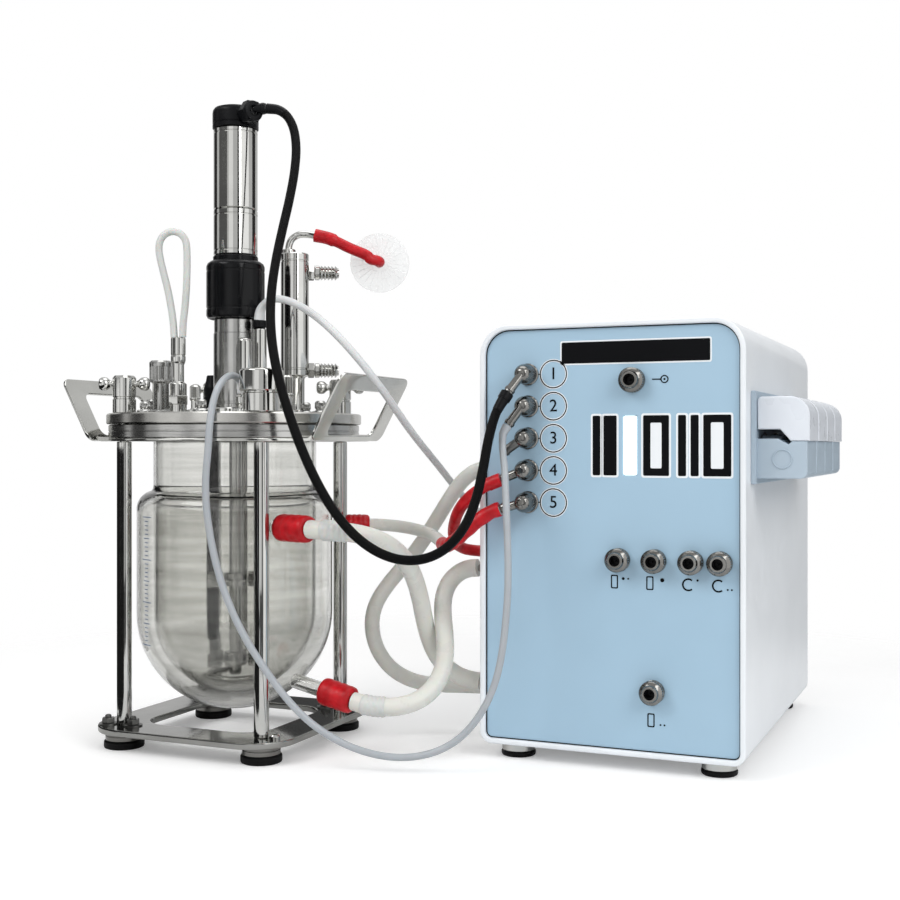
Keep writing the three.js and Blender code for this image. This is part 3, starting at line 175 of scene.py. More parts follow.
def rounded(x0, x1, y0, y1, radius, steps=8, low_radius=None):
    """A rectangle with round corners; the lower two may have a radius of their own."""
    foot = radius if low_radius is None else low_radius
    points = []
    corners = ((x1 - foot, y0 + foot, foot, -90), (x1 - radius, y1 - radius, radius, 0),
               (x0 + radius, y1 - radius, radius, 90), (x0 + foot, y0 + foot, foot, 180))
    for cx, cy, size, start in corners:
        for k in range(steps + 1):
            angle = math.radians(start + 90 * k / steps)
            points.append((cx + size * math.cos(angle), cy + size * math.sin(angle)))
    return points


def on_circle(radius, degrees):
    angle = math.radians(degrees)
    return radius * math.cos(angle), radius * math.sin(angle)


def circle(radius, count):
    angles = [2 * math.pi * k / count for k in range(count)]
    return [(radius * math.cos(a), radius * math.sin(a)) for a in angles]


def centred(x, y, half_x, half_y, radius, steps=4):
    return rounded(x - half_x, x + half_x, y - half_y, y + half_y, radius, steps)


def mesh_shape(data):
    """The shape of a curve or text, with its doubled points joined."""
    holder = bpy.data.objects.new("holder", data)
    mesh = holder.to_mesh()
    work = bmesh.new()
    work.from_mesh(mesh)
    bmesh.ops.remove_doubles(work, verts=work.verts, dist=1e-4)
    work.verts.index_update()
    shape = Shape([v.co for v in work.verts], [[v.index for v in f.verts] for f in work.faces])
    work.free()
    holder.to_mesh_clear()
    bpy.data.objects.remove(holder)
    return shape


def extruded(outline, holes, thickness, bevel=0.0):
    """A flat outline with holes, standing from z = 0 to its thickness, its edges rounded by the bevel."""
    data = bpy.data.curves.new("outline", "CURVE")
    data.dimensions = "2D"
    data.fill_mode = "BOTH"
    data.extrude = thickness / 2 - bevel
    data.bevel_depth = bevel
    data.bevel_resolution = 2
    data.offset = -bevel
    for loop in (outline, *holes):
        spline = data.splines.new("POLY")
        spline.points.add(len(loop) - 1)
        spline.use_cyclic_u = True
        for point, (x, y) in zip(spline.points, loop):
            point.co = (x, y, 0, 1)
    shape = mesh_shape(data)
    bpy.data.curves.remove(data)
    return shape.at(0, 0, thickness / 2)


def along_y(shape, y=0.0):
    """Stands an XY shape up in XZ, its thickness running along +Y from y."""
    return shape.moved(Matrix(((1, 0, 0, 0), (0, 0, 1, y), (0, 1, 0, 0), (0, 0, 0, 1))))


def hexagon(radius, height, bevel):
    return extruded(circle(radius, 6), (), height, bevel)


def block(x0, x1, y0, y1, z0, z1, bevel=0.6):
    return extruded([(x0, y0), (x1, y0), (x1, y1), (x0, y1)], (), z1 - z0, bevel).at(0, 0, z0)


def route(points, steps=8):
    """Dense points on the centripetal curve through the given ones."""
    places = [Vector(p) for p in points]
    places = [2 * places[0] - places[1]] + places + [2 * places[-1] - places[-2]]
    dense = []
    for k in range(1, len(places) - 2):
        a, b, c, d = places[k - 1:k + 3]
        into, out = tangents(a, b, c, d)
        for n in range(steps):
            t = n / steps
            dense.append((2 * t**3 - 3 * t**2 + 1) * b + (t**3 - 2 * t**2 + t) * into
                         + (3 * t**2 - 2 * t**3) * c + (t**3 - t**2) * out)
    return dense + [places[-2]]


def tangents(a, b, c, d):
    """The centripetal tangents at b and c of the stretch between them."""
    da, db, dc = ((q - p).length**0.5 for p, q in ((a, b), (b, c), (c, d)))
    into = ((b - a) / da - (c - a) / (da + db) + (c - b) / db) * db
    out = ((c - b) / db - (d - b) / (db + dc) + (d - c) / dc) * db
    return into, out


def sweep(points, radius, sides=16, steps=6):
    """A round bar along the points; radius may be a function of how far along it is, from 0 to 1."""
    path = route(points, steps) if steps else [Vector(p) for p in points]
    size = radius if callable(radius) else lambda t: radius
    shape = Shape()
    tangent = (path[1] - path[0]).normalized()
    across = tangent.orthogonal().normalized()
    for k, place in enumerate(path):
        ahead = (path[min(k + 1, len(path) - 1)] - path[max(k - 1, 0)]).normalized()
        across = (tangent.rotation_difference(ahead).to_matrix() @ across).normalized()
        tangent = ahead
        up = tangent.cross(across)
        r = size(k / (len(path) - 1))
        for n in range(sides):
            angle = 2 * math.pi * n / sides
            shape.verts.append(place + r * (math.cos(angle) * across + math.sin(angle) * up))
    for k in range(len(path) - 1):
        for n in range(sides):
            m = (n + 1) % sides
            shape.faces.append((k * sides + n, k * sides + m, (k + 1) * sides + m, (k + 1) * sides + n))
    shape.faces.append(tuple(reversed(range(sides))))
    shape.faces.append(tuple(range((len(path) - 1) * sides, len(path) * sides)))
    return shape


def strip(path, thickness, y0, y1):
    """A sheet bent along an XZ path, from y0 to y1."""
    shape = Shape()
    for k, (x, z) in enumerate(path):
        before, after = path[max(k - 1, 0)], path[min(k + 1, len(path) - 1)]
        way = Vector((after[0] - before[0], after[1] - before[1])).normalized() * thickness / 2
        shape.verts += [Vector((x - way.y, y, z + way.x)) for y in (y0, y1)]
        shape.verts += [Vector((x + way.y, y, z - way.x)) for y in (y1, y0)]
    for k in range(len(path) - 1):
        for n in range(4):
            m = (n + 1) % 4
            shape.faces.append((4 * k + n, 4 * k + m, 4 * k + 4 + m, 4 * k + 4 + n))
    shape.faces += [(3, 2, 1, 0), tuple(4 * (len(path) - 1) + n for n in range(4))]
    return shape


def piece(name, shape, finish, body=ROOT, stands_for=(), crease=34.0, oriented=False):
    """Makes the object, gives it its finish, and lets it ride on its body."""
    mesh = bpy.data.meshes.new(name)
    mesh.from_pydata([v * MM for v in shape.verts], [], shape.faces)
    mesh.materials.append(finish)
    if not oriented:
        work = bmesh.new()
        work.from_mesh(mesh)
        bmesh.ops.recalc_face_normals(work, faces=work.faces)
        work.to_mesh(mesh)
        work.free()
    mesh.polygons.foreach_set("use_smooth", [True] * len(mesh.polygons))
    obj = add(bpy.data.objects.new(name, mesh))
    mesh.set_sharp_from_angle(angle=math.radians(crease))
    weighting = obj.modifiers.new("weighting", "WEIGHTED_NORMAL")
    weighting.keep_sharp = True
    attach(obj, body)
    if stands_for:
        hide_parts(*stands_for)
    return obj


# ---------------------------------------------------------------- finishes
def linear(value):
    value /= 255
    return value / 12.92 if value <= 0.04045 else ((value + 0.055) / 1.055) ** 2.4


def rgb(color):
    return (*(linear(v) for v in color), 1)


class Nodes:
    """The node tree of a material or of the world."""

    def __init__(self, holder):
        holder.use_nodes = True
        self.tree = holder.node_tree

    def node(self, kind, values=(), **settings):
        node = self.tree.nodes.new("ShaderNode" + kind)
        for name, value in settings.items():
            setattr(node, name, value)
        for socket, value in dict(values).items():
            if isinstance(value, bpy.types.NodeSocket):
                self.tree.links.new(value, node.inputs[socket])
            else:
                node.inputs[socket].default_value = value
        return node

    def math(self, operation, a, b):
        return self.node("Math", {0: a, 1: b}, operation=operation).outputs[0]

    def surface(self, node):
        self.tree.links.new(node.outputs[0], self.tree.nodes["Material Output"].inputs["Surface"])


class Finish(Nodes):
    """A material round one Principled shader."""

    def __init__(self, name, color, roughness, metallic=0.0, **sockets):
        self.material = bpy.data.materials.new(name)
        super().__init__(self.material)
        self.shader = self.tree.nodes["Principled BSDF"]
        sockets.update(Base_Color=rgb(color), Roughness=roughness, Metallic=metallic)
        for socket, value in sockets.items():
            self.shader.inputs[socket.replace("_", " ")].default_value = value

    def place(self, scale=(1, 1, 1), source="Object"):
        """Coordinates in metres, stretched."""
        spot = self.node("TexCoord").outputs[source]
        return self.node("Mapping", {"Vector": spot, "Scale": scale}).outputs["Vector"]

    def round_place(self, centre):
        """How far a point is from an upright axis, as a vector."""
        spot = self.node("TexCoord").outputs["Object"]
        away = self.node("VectorMath", {0: spot, 1: centre}, operation="SUBTRACT").outputs[0]
        flat = self.node("VectorMath", {0: away, 1: (1, 1, 0)}, operation="MULTIPLY").outputs[0]
        length = self.node("VectorMath", {0: flat}, operation="LENGTH").outputs["Value"]
        return self.node("CombineXYZ", {"X": length}).outputs[0]

    def noise(self, vector, scale, detail=3.0, rough=0.5, distortion=0.0):
        values = {"Vector": vector, "Scale": scale, "Detail": detail, "Roughness": rough,
                  "Distortion": distortion}
        return self.node("TexNoise", values).outputs["Fac"]

    def rough(self, value, to_low, to_high, from_low=0.3, from_high=0.7):
        remap = self.node("MapRange", {0: value, 1: from_low, 2: from_high, 3: to_low, 4: to_high})
        self.tree.links.new(remap.outputs[0], self.shader.inputs["Roughness"])
        return self

    def tint(self, value, dark, light, from_low=0.3, from_high=0.7):
        ramp = self.node("ValToRGB", {0: value})
        for element, place, color in zip(ramp.color_ramp.elements, (from_low, from_high), (dark, light)):
            element.position = place
            element.color = rgb(color)
        self.tree.links.new(ramp.outputs["Color"], self.shader.inputs["Base Color"])
        return self

    def bump(self, value, height, strength=1.0):
        """Height in millimetres."""
        node = self.node("Bump", {"Height": value, "Distance": height * MM, "Strength": strength})
        last = self.shader.inputs["Normal"]
        if last.is_linked:
            self.tree.links.new(last.links[0].from_socket, node.inputs["Normal"])
        self.tree.links.new(node.outputs[0], last)
        return self

    def clear_shadow(self, share=0.85):
        """Lets most light through to what the glass would shade."""
        part = self.math("MULTIPLY", self.node("LightPath").outputs["Is Shadow Ray"], share)
        clear = self.node("BsdfTransparent").outputs[0]
        self.surface(self.node("MixShader", {0: part, 1: self.shader.outputs[0], 2: clear}))
        return self


def brushed(name, color, roughness, stretch, height=0.012, spread=0.06, shade=20):
    """Steel with fine marks along one way, soft cloudiness and a few handling smudges."""
    finish = Finish(name, color, roughness, 1.0)
    marks = finish.noise(finish.place(stretch), 1.0, 4.0, 0.6)
    cloud = finish.noise(finish.place(), 26.0, 2.0)
    dark = [max(v - shade, 0) for v in color]
    finish.tint(cloud, dark, color)
    finish.rough(marks, roughness - spread, roughness + spread)
    return finish.bump(marks, height).material


def lathed(name, color, roughness, centre, pitch, height=0.01):
    """Steel faced on a lathe, with rings round an upright axis."""
    finish = Finish(name, color, roughness, 1.0)
    rings = finish.noise(finish.round_place(centre), pitch, 3.0, 0.7)
    cloud = finish.noise(finish.place(), 30.0, 2.0)
    finish.tint(cloud, [v - 30 for v in color], color)
    finish.rough(rings, roughness - 0.07, roughness + 0.09)
    return finish.bump(rings, height).material


def moulded(name, color, roughness, grain=900.0, height=0.02, shade=8, **sockets):
    """Plastic or paint with a fine skin and a little unevenness of colour."""
    finish = Finish(name, color, roughness, 0.0, **sockets)
    cloud = finish.noise(finish.place(), 14.0, 2.0)
    skin = finish.noise(finish.place(), grain, 2.0)
    finish.tint(cloud, [max(v - shade, 0) for v in color], color)
    finish.rough(finish.noise(finish.place(), 60.0, 3.0), roughness - 0.05, roughness + 0.06)
    return finish.bump(skin, height).material


CENTRE = (AX * MM, AY * MM, 0)
SHEET_STEEL = brushed("polished_sheet_steel", (211, 211, 207), 0.12, (14, 900, 900), 0.002, 0.04, 14)
BASE_STEEL = brushed("base_plate_steel", (158, 158, 155), 0.1, (14, 900, 900), 0.002, 0.03, 18)
TURNED = lathed("turned_plate", (206, 205, 201), 0.19, CENTRE, 900.0)
MILLED = brushed("milled_steel", (182, 182, 180), 0.19, (60, 60, 1400), 0.006)
POLISHED = brushed("polished_steel_bar", (200, 200, 197), 0.08, (40, 40, 500), 0.002, 0.03, 12)
PORT_STEEL = brushed("port_steel", (133, 132, 129), 0.16, (300, 300, 300), 0.015, 0.06)
DULL = brushed("dull_steel", (120, 120, 118), 0.4, (200, 200, 200), 0.03, 0.1)
DARK_CHROME = brushed("dark_chrome", (110, 110, 110), 0.2, (300, 300, 300), 0.02, 0.08)
BLACK = moulded("black_moulding", (11, 12, 15), 0.34, 1300.0, 0.03, 6, Specular_IOR_Level=0.14)
SATIN_BLACK = moulded("black_sleeve_finish", (9, 10, 13), 0.22, 1800.0, 0.01, 5, Specular_IOR_Level=0.2)
RUBBER = moulded("rubber_black", (13, 13, 14), 0.5, 1500.0, 0.05, 6, Specular_IOR_Level=0.15)
SHELL = moulded("powder_coat_white", (238, 242, 246), 0.42, 1100.0, 0.035, 4, Coat_Weight=0.15)
PANEL = moulded("panel_film_blue", (164, 195, 216), 0.4, 1600.0, 0.012, 3, Coat_Weight=0.1)
COVER = moulded("cover_moulding", (226, 231, 238), 0.3, 1200.0, 0.015, 6)
PUMP = moulded("pump_moulding", (176, 192, 205), 0.4, 1300.0, 0.03, 7)
INK = moulded("panel_ink", (9, 10, 13), 0.5, 1500.0, 0.01, 4, Specular_IOR_Level=0.08)
HALO = moulded("panel_white", (240, 244, 247), 0.45, 1500.0, 0.01, 3)
GREY_INK = moulded("glass_ink", (78, 104, 142), 0.5, 1500.0, 0.01, 10)
ROTOR = moulded("rotor_moulding", (118, 124, 132), 0.4, 1300.0, 0.03, 8)


def glass():
    finish = Finish("vessel_glass", (244, 244, 243), 0.03, Transmission_Weight=1.0, IOR=1.46)
    waves = finish.noise(finish.place((16, 16, 9)), 1.0, 2.0, 0.5)
    streaks = finish.noise(finish.place((5, 5, 110)), 1.0, 3.0, 0.6)
    finish.tint(streaks, (226, 226, 223), (246, 246, 244)).rough(streaks, 0.02, 0.09)
    ridges = finish.noise(finish.place((52, 52, 3)), 1.0, 2.0, 0.5)
    return finish.bump(waves, 0.6, 0.3).bump(ridges, 0.3, 0.4).bump(streaks, 0.05, 0.35).clear_shadow().material


def lamp_white():
    finish = Finish("status_glow", (246, 255, 250), 0.3, Emission_Color=(0.93, 1.0, 0.96, 1), Emission_Strength=1.2)
    glow = finish.noise(finish.place(), 120.0, 1.0)
    return finish.tint(glow, (236, 250, 242), (250, 255, 252)).material


def silicone_red():
    finish = Finish("silicone_red", (196, 14, 26), 0.36, Subsurface_Weight=0.08, Subsurface_Scale=0.003,
                    Specular_IOR_Level=0.3)
    mottle = finish.noise(finish.place(), 95.0, 3.0)
    lumps = finish.noise(finish.place(), 210.0, 2.0)
    finish.tint(mottle, (166, 6, 18), (208, 18, 32))
    return finish.rough(lumps, 0.28, 0.46).bump(lumps, 0.35).material


def silicone_clear(name, color):
    finish = Finish(name, color, 0.3, IOR=1.41, Subsurface_Weight=0.2, Subsurface_Scale=0.003)
    cloud = finish.noise(finish.place(), 24.0, 2.0)
    finish.tint(cloud, [v - 9 for v in color], color)
    return finish.rough(finish.noise(finish.place(), 90.0, 2.0), 0.24, 0.36).material


def braided(name, color, turns, pitch):
    """A woven sleeve: two crossed waves along and round the cord."""
    finish = Finish(name, color, 0.42, Specular_IOR_Level=0.08)
    place = finish.place((turns, pitch, 1), "UV")
    weave = []
    for way in (45, -45):
        spun = finish.node("VectorRotate", {"Vector": place, "Angle": math.radians(way)}, rotation_type="Z_AXIS")
        values = {"Vector": spun.outputs[0], "Scale": 1.0, "Distortion": 0.4}
        weave.append(finish.node("TexWave", values, wave_type="BANDS").outputs["Fac"])
    both = finish.math("MAXIMUM", *weave)
    finish.tint(both, [max(v - 16, 0) for v in color], [v + 18 for v in color], 0.5, 1.0)
    return finish.rough(both, 0.55, 0.3, 0.2, 0.9).bump(both, 0.35).material


def sheathed(name, color):
    """A smooth pale cable jacket with faint print-free mottling."""
    finish = Finish(name, color, 0.35, Subsurface_Weight=0.05, Subsurface_Scale=0.002)
    finish.tint(finish.noise(finish.place(), 60.0, 3.0), [v - 5 for v in color], color)
    skin = finish.noise(finish.place(), 700.0, 2.0)
    return finish.rough(skin, 0.28, 0.42).bump(skin, 0.03).material


def filter_disc():
    finish = Finish("filter_membrane", (248, 249, 249), 0.35, Transmission_Weight=0.5, IOR=1.3,
                    Alpha=0.55)
    paper = finish.noise(finish.place(), 900.0, 3.0)
    finish.tint(paper, (240, 242, 242), (253, 253, 253))
    return finish.rough(paper, 0.3, 0.45).bump(paper, 0.05).clear_shadow(0.6).material


GLASS = glass()
LIGHT = lamp_white()
RED = silicone_red()
HOSE = silicone_clear("hose_silicone", (228, 228, 221))
LOOP = silicone_clear("sample_silicone", (213, 215, 212))
BRAID = braided("cable_braid_black", (5, 5, 6), 420.0, 9.0)
PALE = sheathed("cable_jacket_pale", (172, 177, 182))
WHITE = sheathed("cable_jacket_white", (216, 218, 219))
FILTER = filter_disc()


# ---------------------------------------------------------------- cords and hoses, the routes of the CAD part
MOTOR_CABLE = [
    (-152.1, -142.9, 613.2), (-141.2, -140.1, 611.3), (-132.2, -139.3, 605), (-124.2, -140.8, 592.5),
    (-118.2, -145.7, 572.5), (-115.4, -153.6, 547.3), (-115, -163.7, 519), (-115.8, -175.2, 488.7),
    (-115.7, -186.6, 459.9), (-113.6, -197.5, 432.7), (-109, -207.8, 406.1), (-102.2, -216.2, 379.9),
    (-93.6, -222.1, 353.8), (-83.6, -225.3, 327.1), (-72.5, -226.2, 299.3), (-60.3, -225.4, 271.7),
    (-47, -223.2, 246.3), (-32.5, -219.7, 224.2), (-16.7, -214.7, 206.6), (-0.1, -208.5, 194.4),
    (16.6, -201.9, 188.1), (32.8, -195.3, 187.6), (47.5, -189, 192.6), (60.2, -183.2, 203),
    (70.4, -177.6, 218.8), (77.5, -172, 240.1), (81.5, -165.4, 266.3), (83.9, -157, 294.4),
    (87.6, -148, 317.2), (94.6, -139.1, 334.3),
]
SENSOR_CABLE = [
    (-151, -188.8, 336.6), (-150.9, -189.8, 342.7), (-150.6, -193.9, 347.8), (-150, -201.7, 351.3),
    (-148.9, -213, 351.4), (-147.3, -226.7, 346.4), (-145.3, -239.9, 336.5), (-143.4, -249.5, 323.6),
    (-142.3, -255.4, 307.2), (-142.2, -258.4, 284.9), (-143.7, -259.8, 258), (-143.4, -259.2, 233.3),
    (-140.6, -257.1, 207), (-135.6, -254.9, 181.4), (-128.1, -252.6, 156.7), (-118.3, -249.5, 132.8),
    (-106.5, -245.2, 109.8), (-92.4, -239.6, 86.8), (-77.2, -233.7, 65.2), (-62.2, -227.9, 48.4),
    (-44.9, -221.1, 34.4), (-26.4, -213.7, 23.8), (-6.7, -206.1, 16.9), (13.1, -198.6, 14),
    (31.5, -192.2, 15.4), (49, -187.2, 21), (64.4, -183.5, 30.5), (77.6, -180.2, 44.2),
    (89.2, -177.6, 62.4), (97.4, -175.7, 82.6), (102.5, -174.2, 105.7), (105.6, -172.7, 132.8),
    (107, -171, 160.4), (106.5, -168.9, 187.7), (104.4, -165.6, 215), (101.5, -160.8, 240.6),
    (97.7, -153.8, 265.4), (92.5, -145.4, 286.9), (91.1, -139.7, 298.7), (93.5, -136.8, 304.8),
]
PROBE_CABLE = [
    (-163, -138.8, 409.6), (-161.9, -139.1, 417.6), (-158.4, -140.2, 423), (-152.2, -142.1, 426.8),
    (-141.5, -145.4, 428.4), (-126, -150, 425.9), (-107.8, -155.2, 419), (-89.2, -160, 408.6),
    (-71.6, -163.4, 395.9), (-56.4, -164.5, 382.2), (-44.4, -162.6, 368.9), (-35.4, -157.7, 356.4),
    (-29, -149.5, 344.2), (-24.7, -137.4, 331.7), (-22.4, -121, 318.6), (-21.5, -100.7, 305.3),
    (-21.1, -77.5, 292), (-20.2, -53.8, 278.8), (-18.5, -32.1, 265.8), (-15.8, -12.6, 252.3),
    (-11.4, 4.4, 238.5), (-5, 18, 226), (3.4, 27.9, 216.2), (13.5, 34.4, 209.3), (25.2, 38.1, 205.3),
    (38.6, 39.2, 204),
]
SAMPLE_LOOP = [
    (-225.5, -190.8, 390.7), (-226.6, -191, 404.8), (-228.7, -191.6, 420.2), (-231.4, -192.4, 434.7),
    (-235.2, -193.5, 450.6), (-238.7, -194.6, 465.4), (-240, -195, 474.7), (-239.6, -194.9, 480.5),
    (-238.2, -194.6, 484.5), (-236.1, -194, 487.6), (-233.3, -193.2, 489.9), (-230, -192.3, 491.3),
    (-226.3, -191.3, 491.7), (-222.7, -190.2, 491), (-219.5, -189.4, 489.4), (-216.9, -188.7, 486.9),
    (-214.9, -188.2, 483.5), (-213.5, -188, 478.3), (-213, -187.9, 467.8), (-213, -188.1, 451.2),
    (-213.3, -188.7, 434.9), (-214.2, -189.5, 419.7), (-215.5, -190.5, 403.9), (-216, -190.8, 390.7),
]
UPPER_HOSE = [
    (-71.4, -202.5, 212), (-59.9, -205.1, 212), (-49.3, -205.1, 211.7), (-39.5, -202.5, 210.9),
    (-30.5, -197.7, 209.5), (-22.4, -190.3, 207.1), (-15.4, -180.7, 203.4), (-9.8, -169.4, 198),
    (-5.9, -157.3, 190.8), (-3.5, -145.2, 181.6), (-2.4, -133.7, 170.6), (-2.4, -122.8, 157.7),
    (-3.1, -112.6, 142.9), (-4.1, -102.7, 125.9), (-4.2, -93.6, 109.2), (-2.7, -85.7, 94.8),
    (0.7, -78.9, 83.2), (5.6, -73.3, 74.2), (12, -68.8, 67.8), (19.5, -65.5, 63.4), (28.4, -63.4, 60.8),
    (38.6, -62.8, 60),
]
LOWER_HOSE = [
    (-45.4, -167.3, 53), (-32, -167.6, 50.7), (-19.3, -165.6, 49.7), (-7.9, -161.7, 49.8),
    (2, -156.1, 51.4), (10.1, -149.2, 54.5), (16.3, -141.7, 59.3), (20.6, -133.6, 65.7), (22.9, -125.3, 74),
    (22.9, -116.9, 84), (20.6, -108.1, 96), (15.8, -98.8, 110.6), (10.3, -89.7, 126.4), (7.8, -83.2, 138.5),
    (8.2, -78.6, 147.8), (10.8, -75.2, 155.2), (15.3, -72.8, 161.2), (21.6, -71, 166), (29.6, -70, 169.1),
    (38.6, -69.8, 170),
]
LOOP_HOSE = [
    (38.6, -0.8, 266), (27.2, -1.9, 265.8), (18.2, -5.1, 264.4), (10.5, -9.9, 261.1), (3.3, -16.2, 254.7),
    (-3.7, -23.2, 244.4), (-11, -29.1, 231), (-20.6, -34.1, 213.5), (-30.4, -39.3, 196),
    (-40, -45.8, 180.3), (-51, -53.3, 164.5), (-62, -58.8, 149.7), (-70.7, -61.9, 136.3),
    (-76.1, -62.9, 124.1), (-78.8, -62.4, 111.9), (-78.9, -60.5, 98.7), (-76.4, -57.5, 85.6),
    (-71.5, -53.4, 73.8), (-64.5, -48.5, 63.8), (-55.6, -42.7, 55.9), (-45, -36.6, 50.3),
    (-32.4, -30.3, 47), (-17.1, -24.5, 45.7), (0.4, -19.8, 45.7), (18.3, -17.3, 46), (38.6, -16.8, 46),
]
REAR_HOSE = [
    (-82.4, -73.4, 209), (-67.7, -66.5, 208.6), (-54.4, -62.4, 207.6), (-42, -61, 206.2),
    (-30.4, -62.2, 204.5), (-19.5, -65.9, 202.6), (-9.4, -72.1, 200.5), (0.3, -81.2, 198.1),
    (9.9, -93.8, 195.8), (19.4, -108.2, 194.3), (27.3, -119.3, 194.8), (34.2, -126.6, 197),
    (40.6, -131.3, 200.5), (47.1, -133.8, 205.2), (54.7, -134.1, 211.7), (64.7, -131.7, 220.2),
    (74.8, -128.5, 227), (82.9, -127.1, 230),
]
RED_TUBE = [
    (83.7, -127, 256.7), (72.5, -128.9, 252), (63.4, -130.1, 246.9), (56.2, -129.5, 242.1),
    (49.6, -127.1, 236.9), (43, -122.7, 230.9), (36.4, -115.9, 224.2), (29.9, -106.6, 216.5),
    (23.9, -95.7, 208.5), (19.3, -84.5, 201.1), (16.6, -74.5, 195.2), (16, -66.2, 191), (17, -59.5, 188.2),
    (19.3, -54.3, 186.3), (22.6, -50.2, 185.2), (26.8, -47.2, 184.5), (32.2, -45.3, 184.1),
    (38.6, -44.8, 184),
]


def cord(name, points, diameter, finish, node):
    """One open spline along the CAD route, from its exit to the fitting that it goes into."""
    data = bpy.data.curves.new(name, "CURVE")
    data.dimensions = "3D"
    data.bevel_depth = diameter / 2 * MM
    data.bevel_resolution = 6
    data.resolution_u = 8
    data.use_fill_caps = True
    data.materials.append(finish)
    spline = data.splines.new("BEZIER")
    spline.bezier_points.add(len(points) - 1)
    places = [Vector(p) for p in points]
    places = [2 * places[0] - places[1]] + places + [2 * places[-1] - places[-2]]
    knots = spline.bezier_points
    for k, knot in enumerate(knots):
        knot.handle_left_type = knot.handle_right_type = "FREE"
        knot.co = knot.handle_left = knot.handle_right = places[k + 1] * MM
    for k in range(len(points) - 1):
        into, out = tangents(*places[k:k + 4])
        knots[k].handle_right = (places[k + 1] + into / 3) * MM
        knots[k + 1].handle_left = (places[k + 2] - out / 3) * MM
    knots[0].handle_left = 2 * knots[0].co - knots[0].handle_right
    knots[-1].handle_right = 2 * knots[-1].co - knots[-1].handle_left
    obj = add(bpy.data.objects.new(name, data))
    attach(obj, ROOT)
    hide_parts(node)


def along(points, start, end, radius):
    """A bar along the stretch of a route between two distances from its first point."""
    dense = route(points, 12)
    kept, far = [], 0.0
    for a, b in zip(dense, dense[1:]):
        if start <= far <= end:
            kept.append(a)
        far += (b - a).length
    return sweep(kept, radius, 24, 0)


def tapered(wide, narrow):
    return lambda t: wide + (narrow - wide) * t


def ridged(t):
    """A clear hose end with moulded rings."""
    return 9.1 + 0.55 * abs(math.sin(5 * math.pi * t))


def end_piece(name, shape, finish):
    return piece(name, shape, finish, crease=60)


# strain reliefs and hose ends, each on the first or last stretch of its cord
motor_boot = end_piece("motor_cable_boot", along(MOTOR_CABLE, 0, 20, tapered(5.0, 4.4)), BLACK)
motor_tail = end_piece("motor_cable_socket_boot", along(MOTOR_CABLE[::-1], 0, 20, tapered(5.6, 4.5)).join(
    along(MOTOR_CABLE[::-1], 0, 7, 6.0)), BLACK)
sensor_boot = end_piece("sensor_cable_boot", along(SENSOR_CABLE, 0, 14, tapered(4.8, 3.4)), WHITE)
sensor_tail = end_piece(
    "sensor_cable_socket_boot", along(SENSOR_CABLE[::-1], 0, 16, tapered(4.4, 3.3)), PALE)
probe_boot = end_piece("probe_cable_boot", along(PROBE_CABLE, 0, 16, tapered(5.6, 3.8)), WHITE)
rear_sleeve = end_piece("hose_rear_sleeve", along(REAR_HOSE[::-1], 0, 92, lambda t: 6.6 + 0.25 * math.sin(40 * t)),
                        RED)
red_end = end_piece("red_tube_end", along(RED_TUBE, 0, 13, 6.3), RED)
upper_end = end_piece("hose_upper_end", along(UPPER_HOSE, 15, 38, ridged), LOOP)
lower_end = end_piece("hose_lower_end", along(LOWER_HOSE, 9.5, 32, ridged), LOOP)

cord("motor_lead", MOTOR_CABLE, 8.6, BRAID, "motor_cable")
cord("sensor_lead", SENSOR_CABLE, 6.4, PALE, "sensor_cable")
cord("probe_lead", PROBE_CABLE, 7.2, WHITE, "probe_cable")
cord("sample_tube", SAMPLE_LOOP, 6.8, LOOP, "sample_loop")
cord("jacket_hose_upper", UPPER_HOSE, 17, HOSE, "hose_upper")
cord("jacket_hose_lower", LOWER_HOSE, 17, HOSE, "hose_lower")
cord("loop_hose", LOOP_HOSE, 15, HOSE, "hose_loop")
cord("jacket_hose_rear", REAR_HOSE, 12, HOSE, "hose_rear")
cord("pump_tube_red", RED_TUBE, 11, RED, "red_tube")


# ---------------------------------------------------------------- stand
CORNERS = [(f"{row}_{side}", AX + sx * ROD, AY + sy * ROD)
           for row, sy in (("front", -1), ("rear", 1)) for side, sx in (("left", -1), ("right", 1))]


def stud_nut(x, y, z):
    """A nut with chamfered corners on a washer, and the rounded stud end that it holds."""
    washer = revolve([(3, 0), (8.7, 0), (8.7, 1.2), (3, 1.2)], 40, closed=True)
    stud = revolve([(0, 1), (3, 1), (3, 8.2), (2, 9.2), (0, 9.2)], 32)
    return washer.join(hexagon(6.2, 5.2, 0.7).at(0, 0, 1.2), stud).at(x, y, z)


plate = extruded(centred(0, 0, 105, 105, 40, 12), [centred(0, 0, 66, 66, 28, 12)],
                 BASE_TOP - BASE_Z, 1.2).at(AX, AY, BASE_Z)
fasteners = Shape()
for name, x, y in CORNERS:
    if name != "front_right":
        fasteners.join(stud_nut(x - 12.5, y - 8, BASE_TOP), stud_nut(x + 14.1, y - 5.2, BASE_TOP))
piece("base_plate_sheet", plate, BASE_STEEL, stands_for=["base_plate"])
piece("base_plate_nuts", fasteners, DULL)
screw = revolve([(0, 0), (5.2, 0), (5.2, 2.6), (4.4, 3.6), (2.4, 3.9), (2.4, 2.2), (0, 2.2)], 40)
piece("base_plate_screw", screw.at(AX + ROD + 13.3, AY - ROD + 1.4, BASE_TOP), POLISHED)

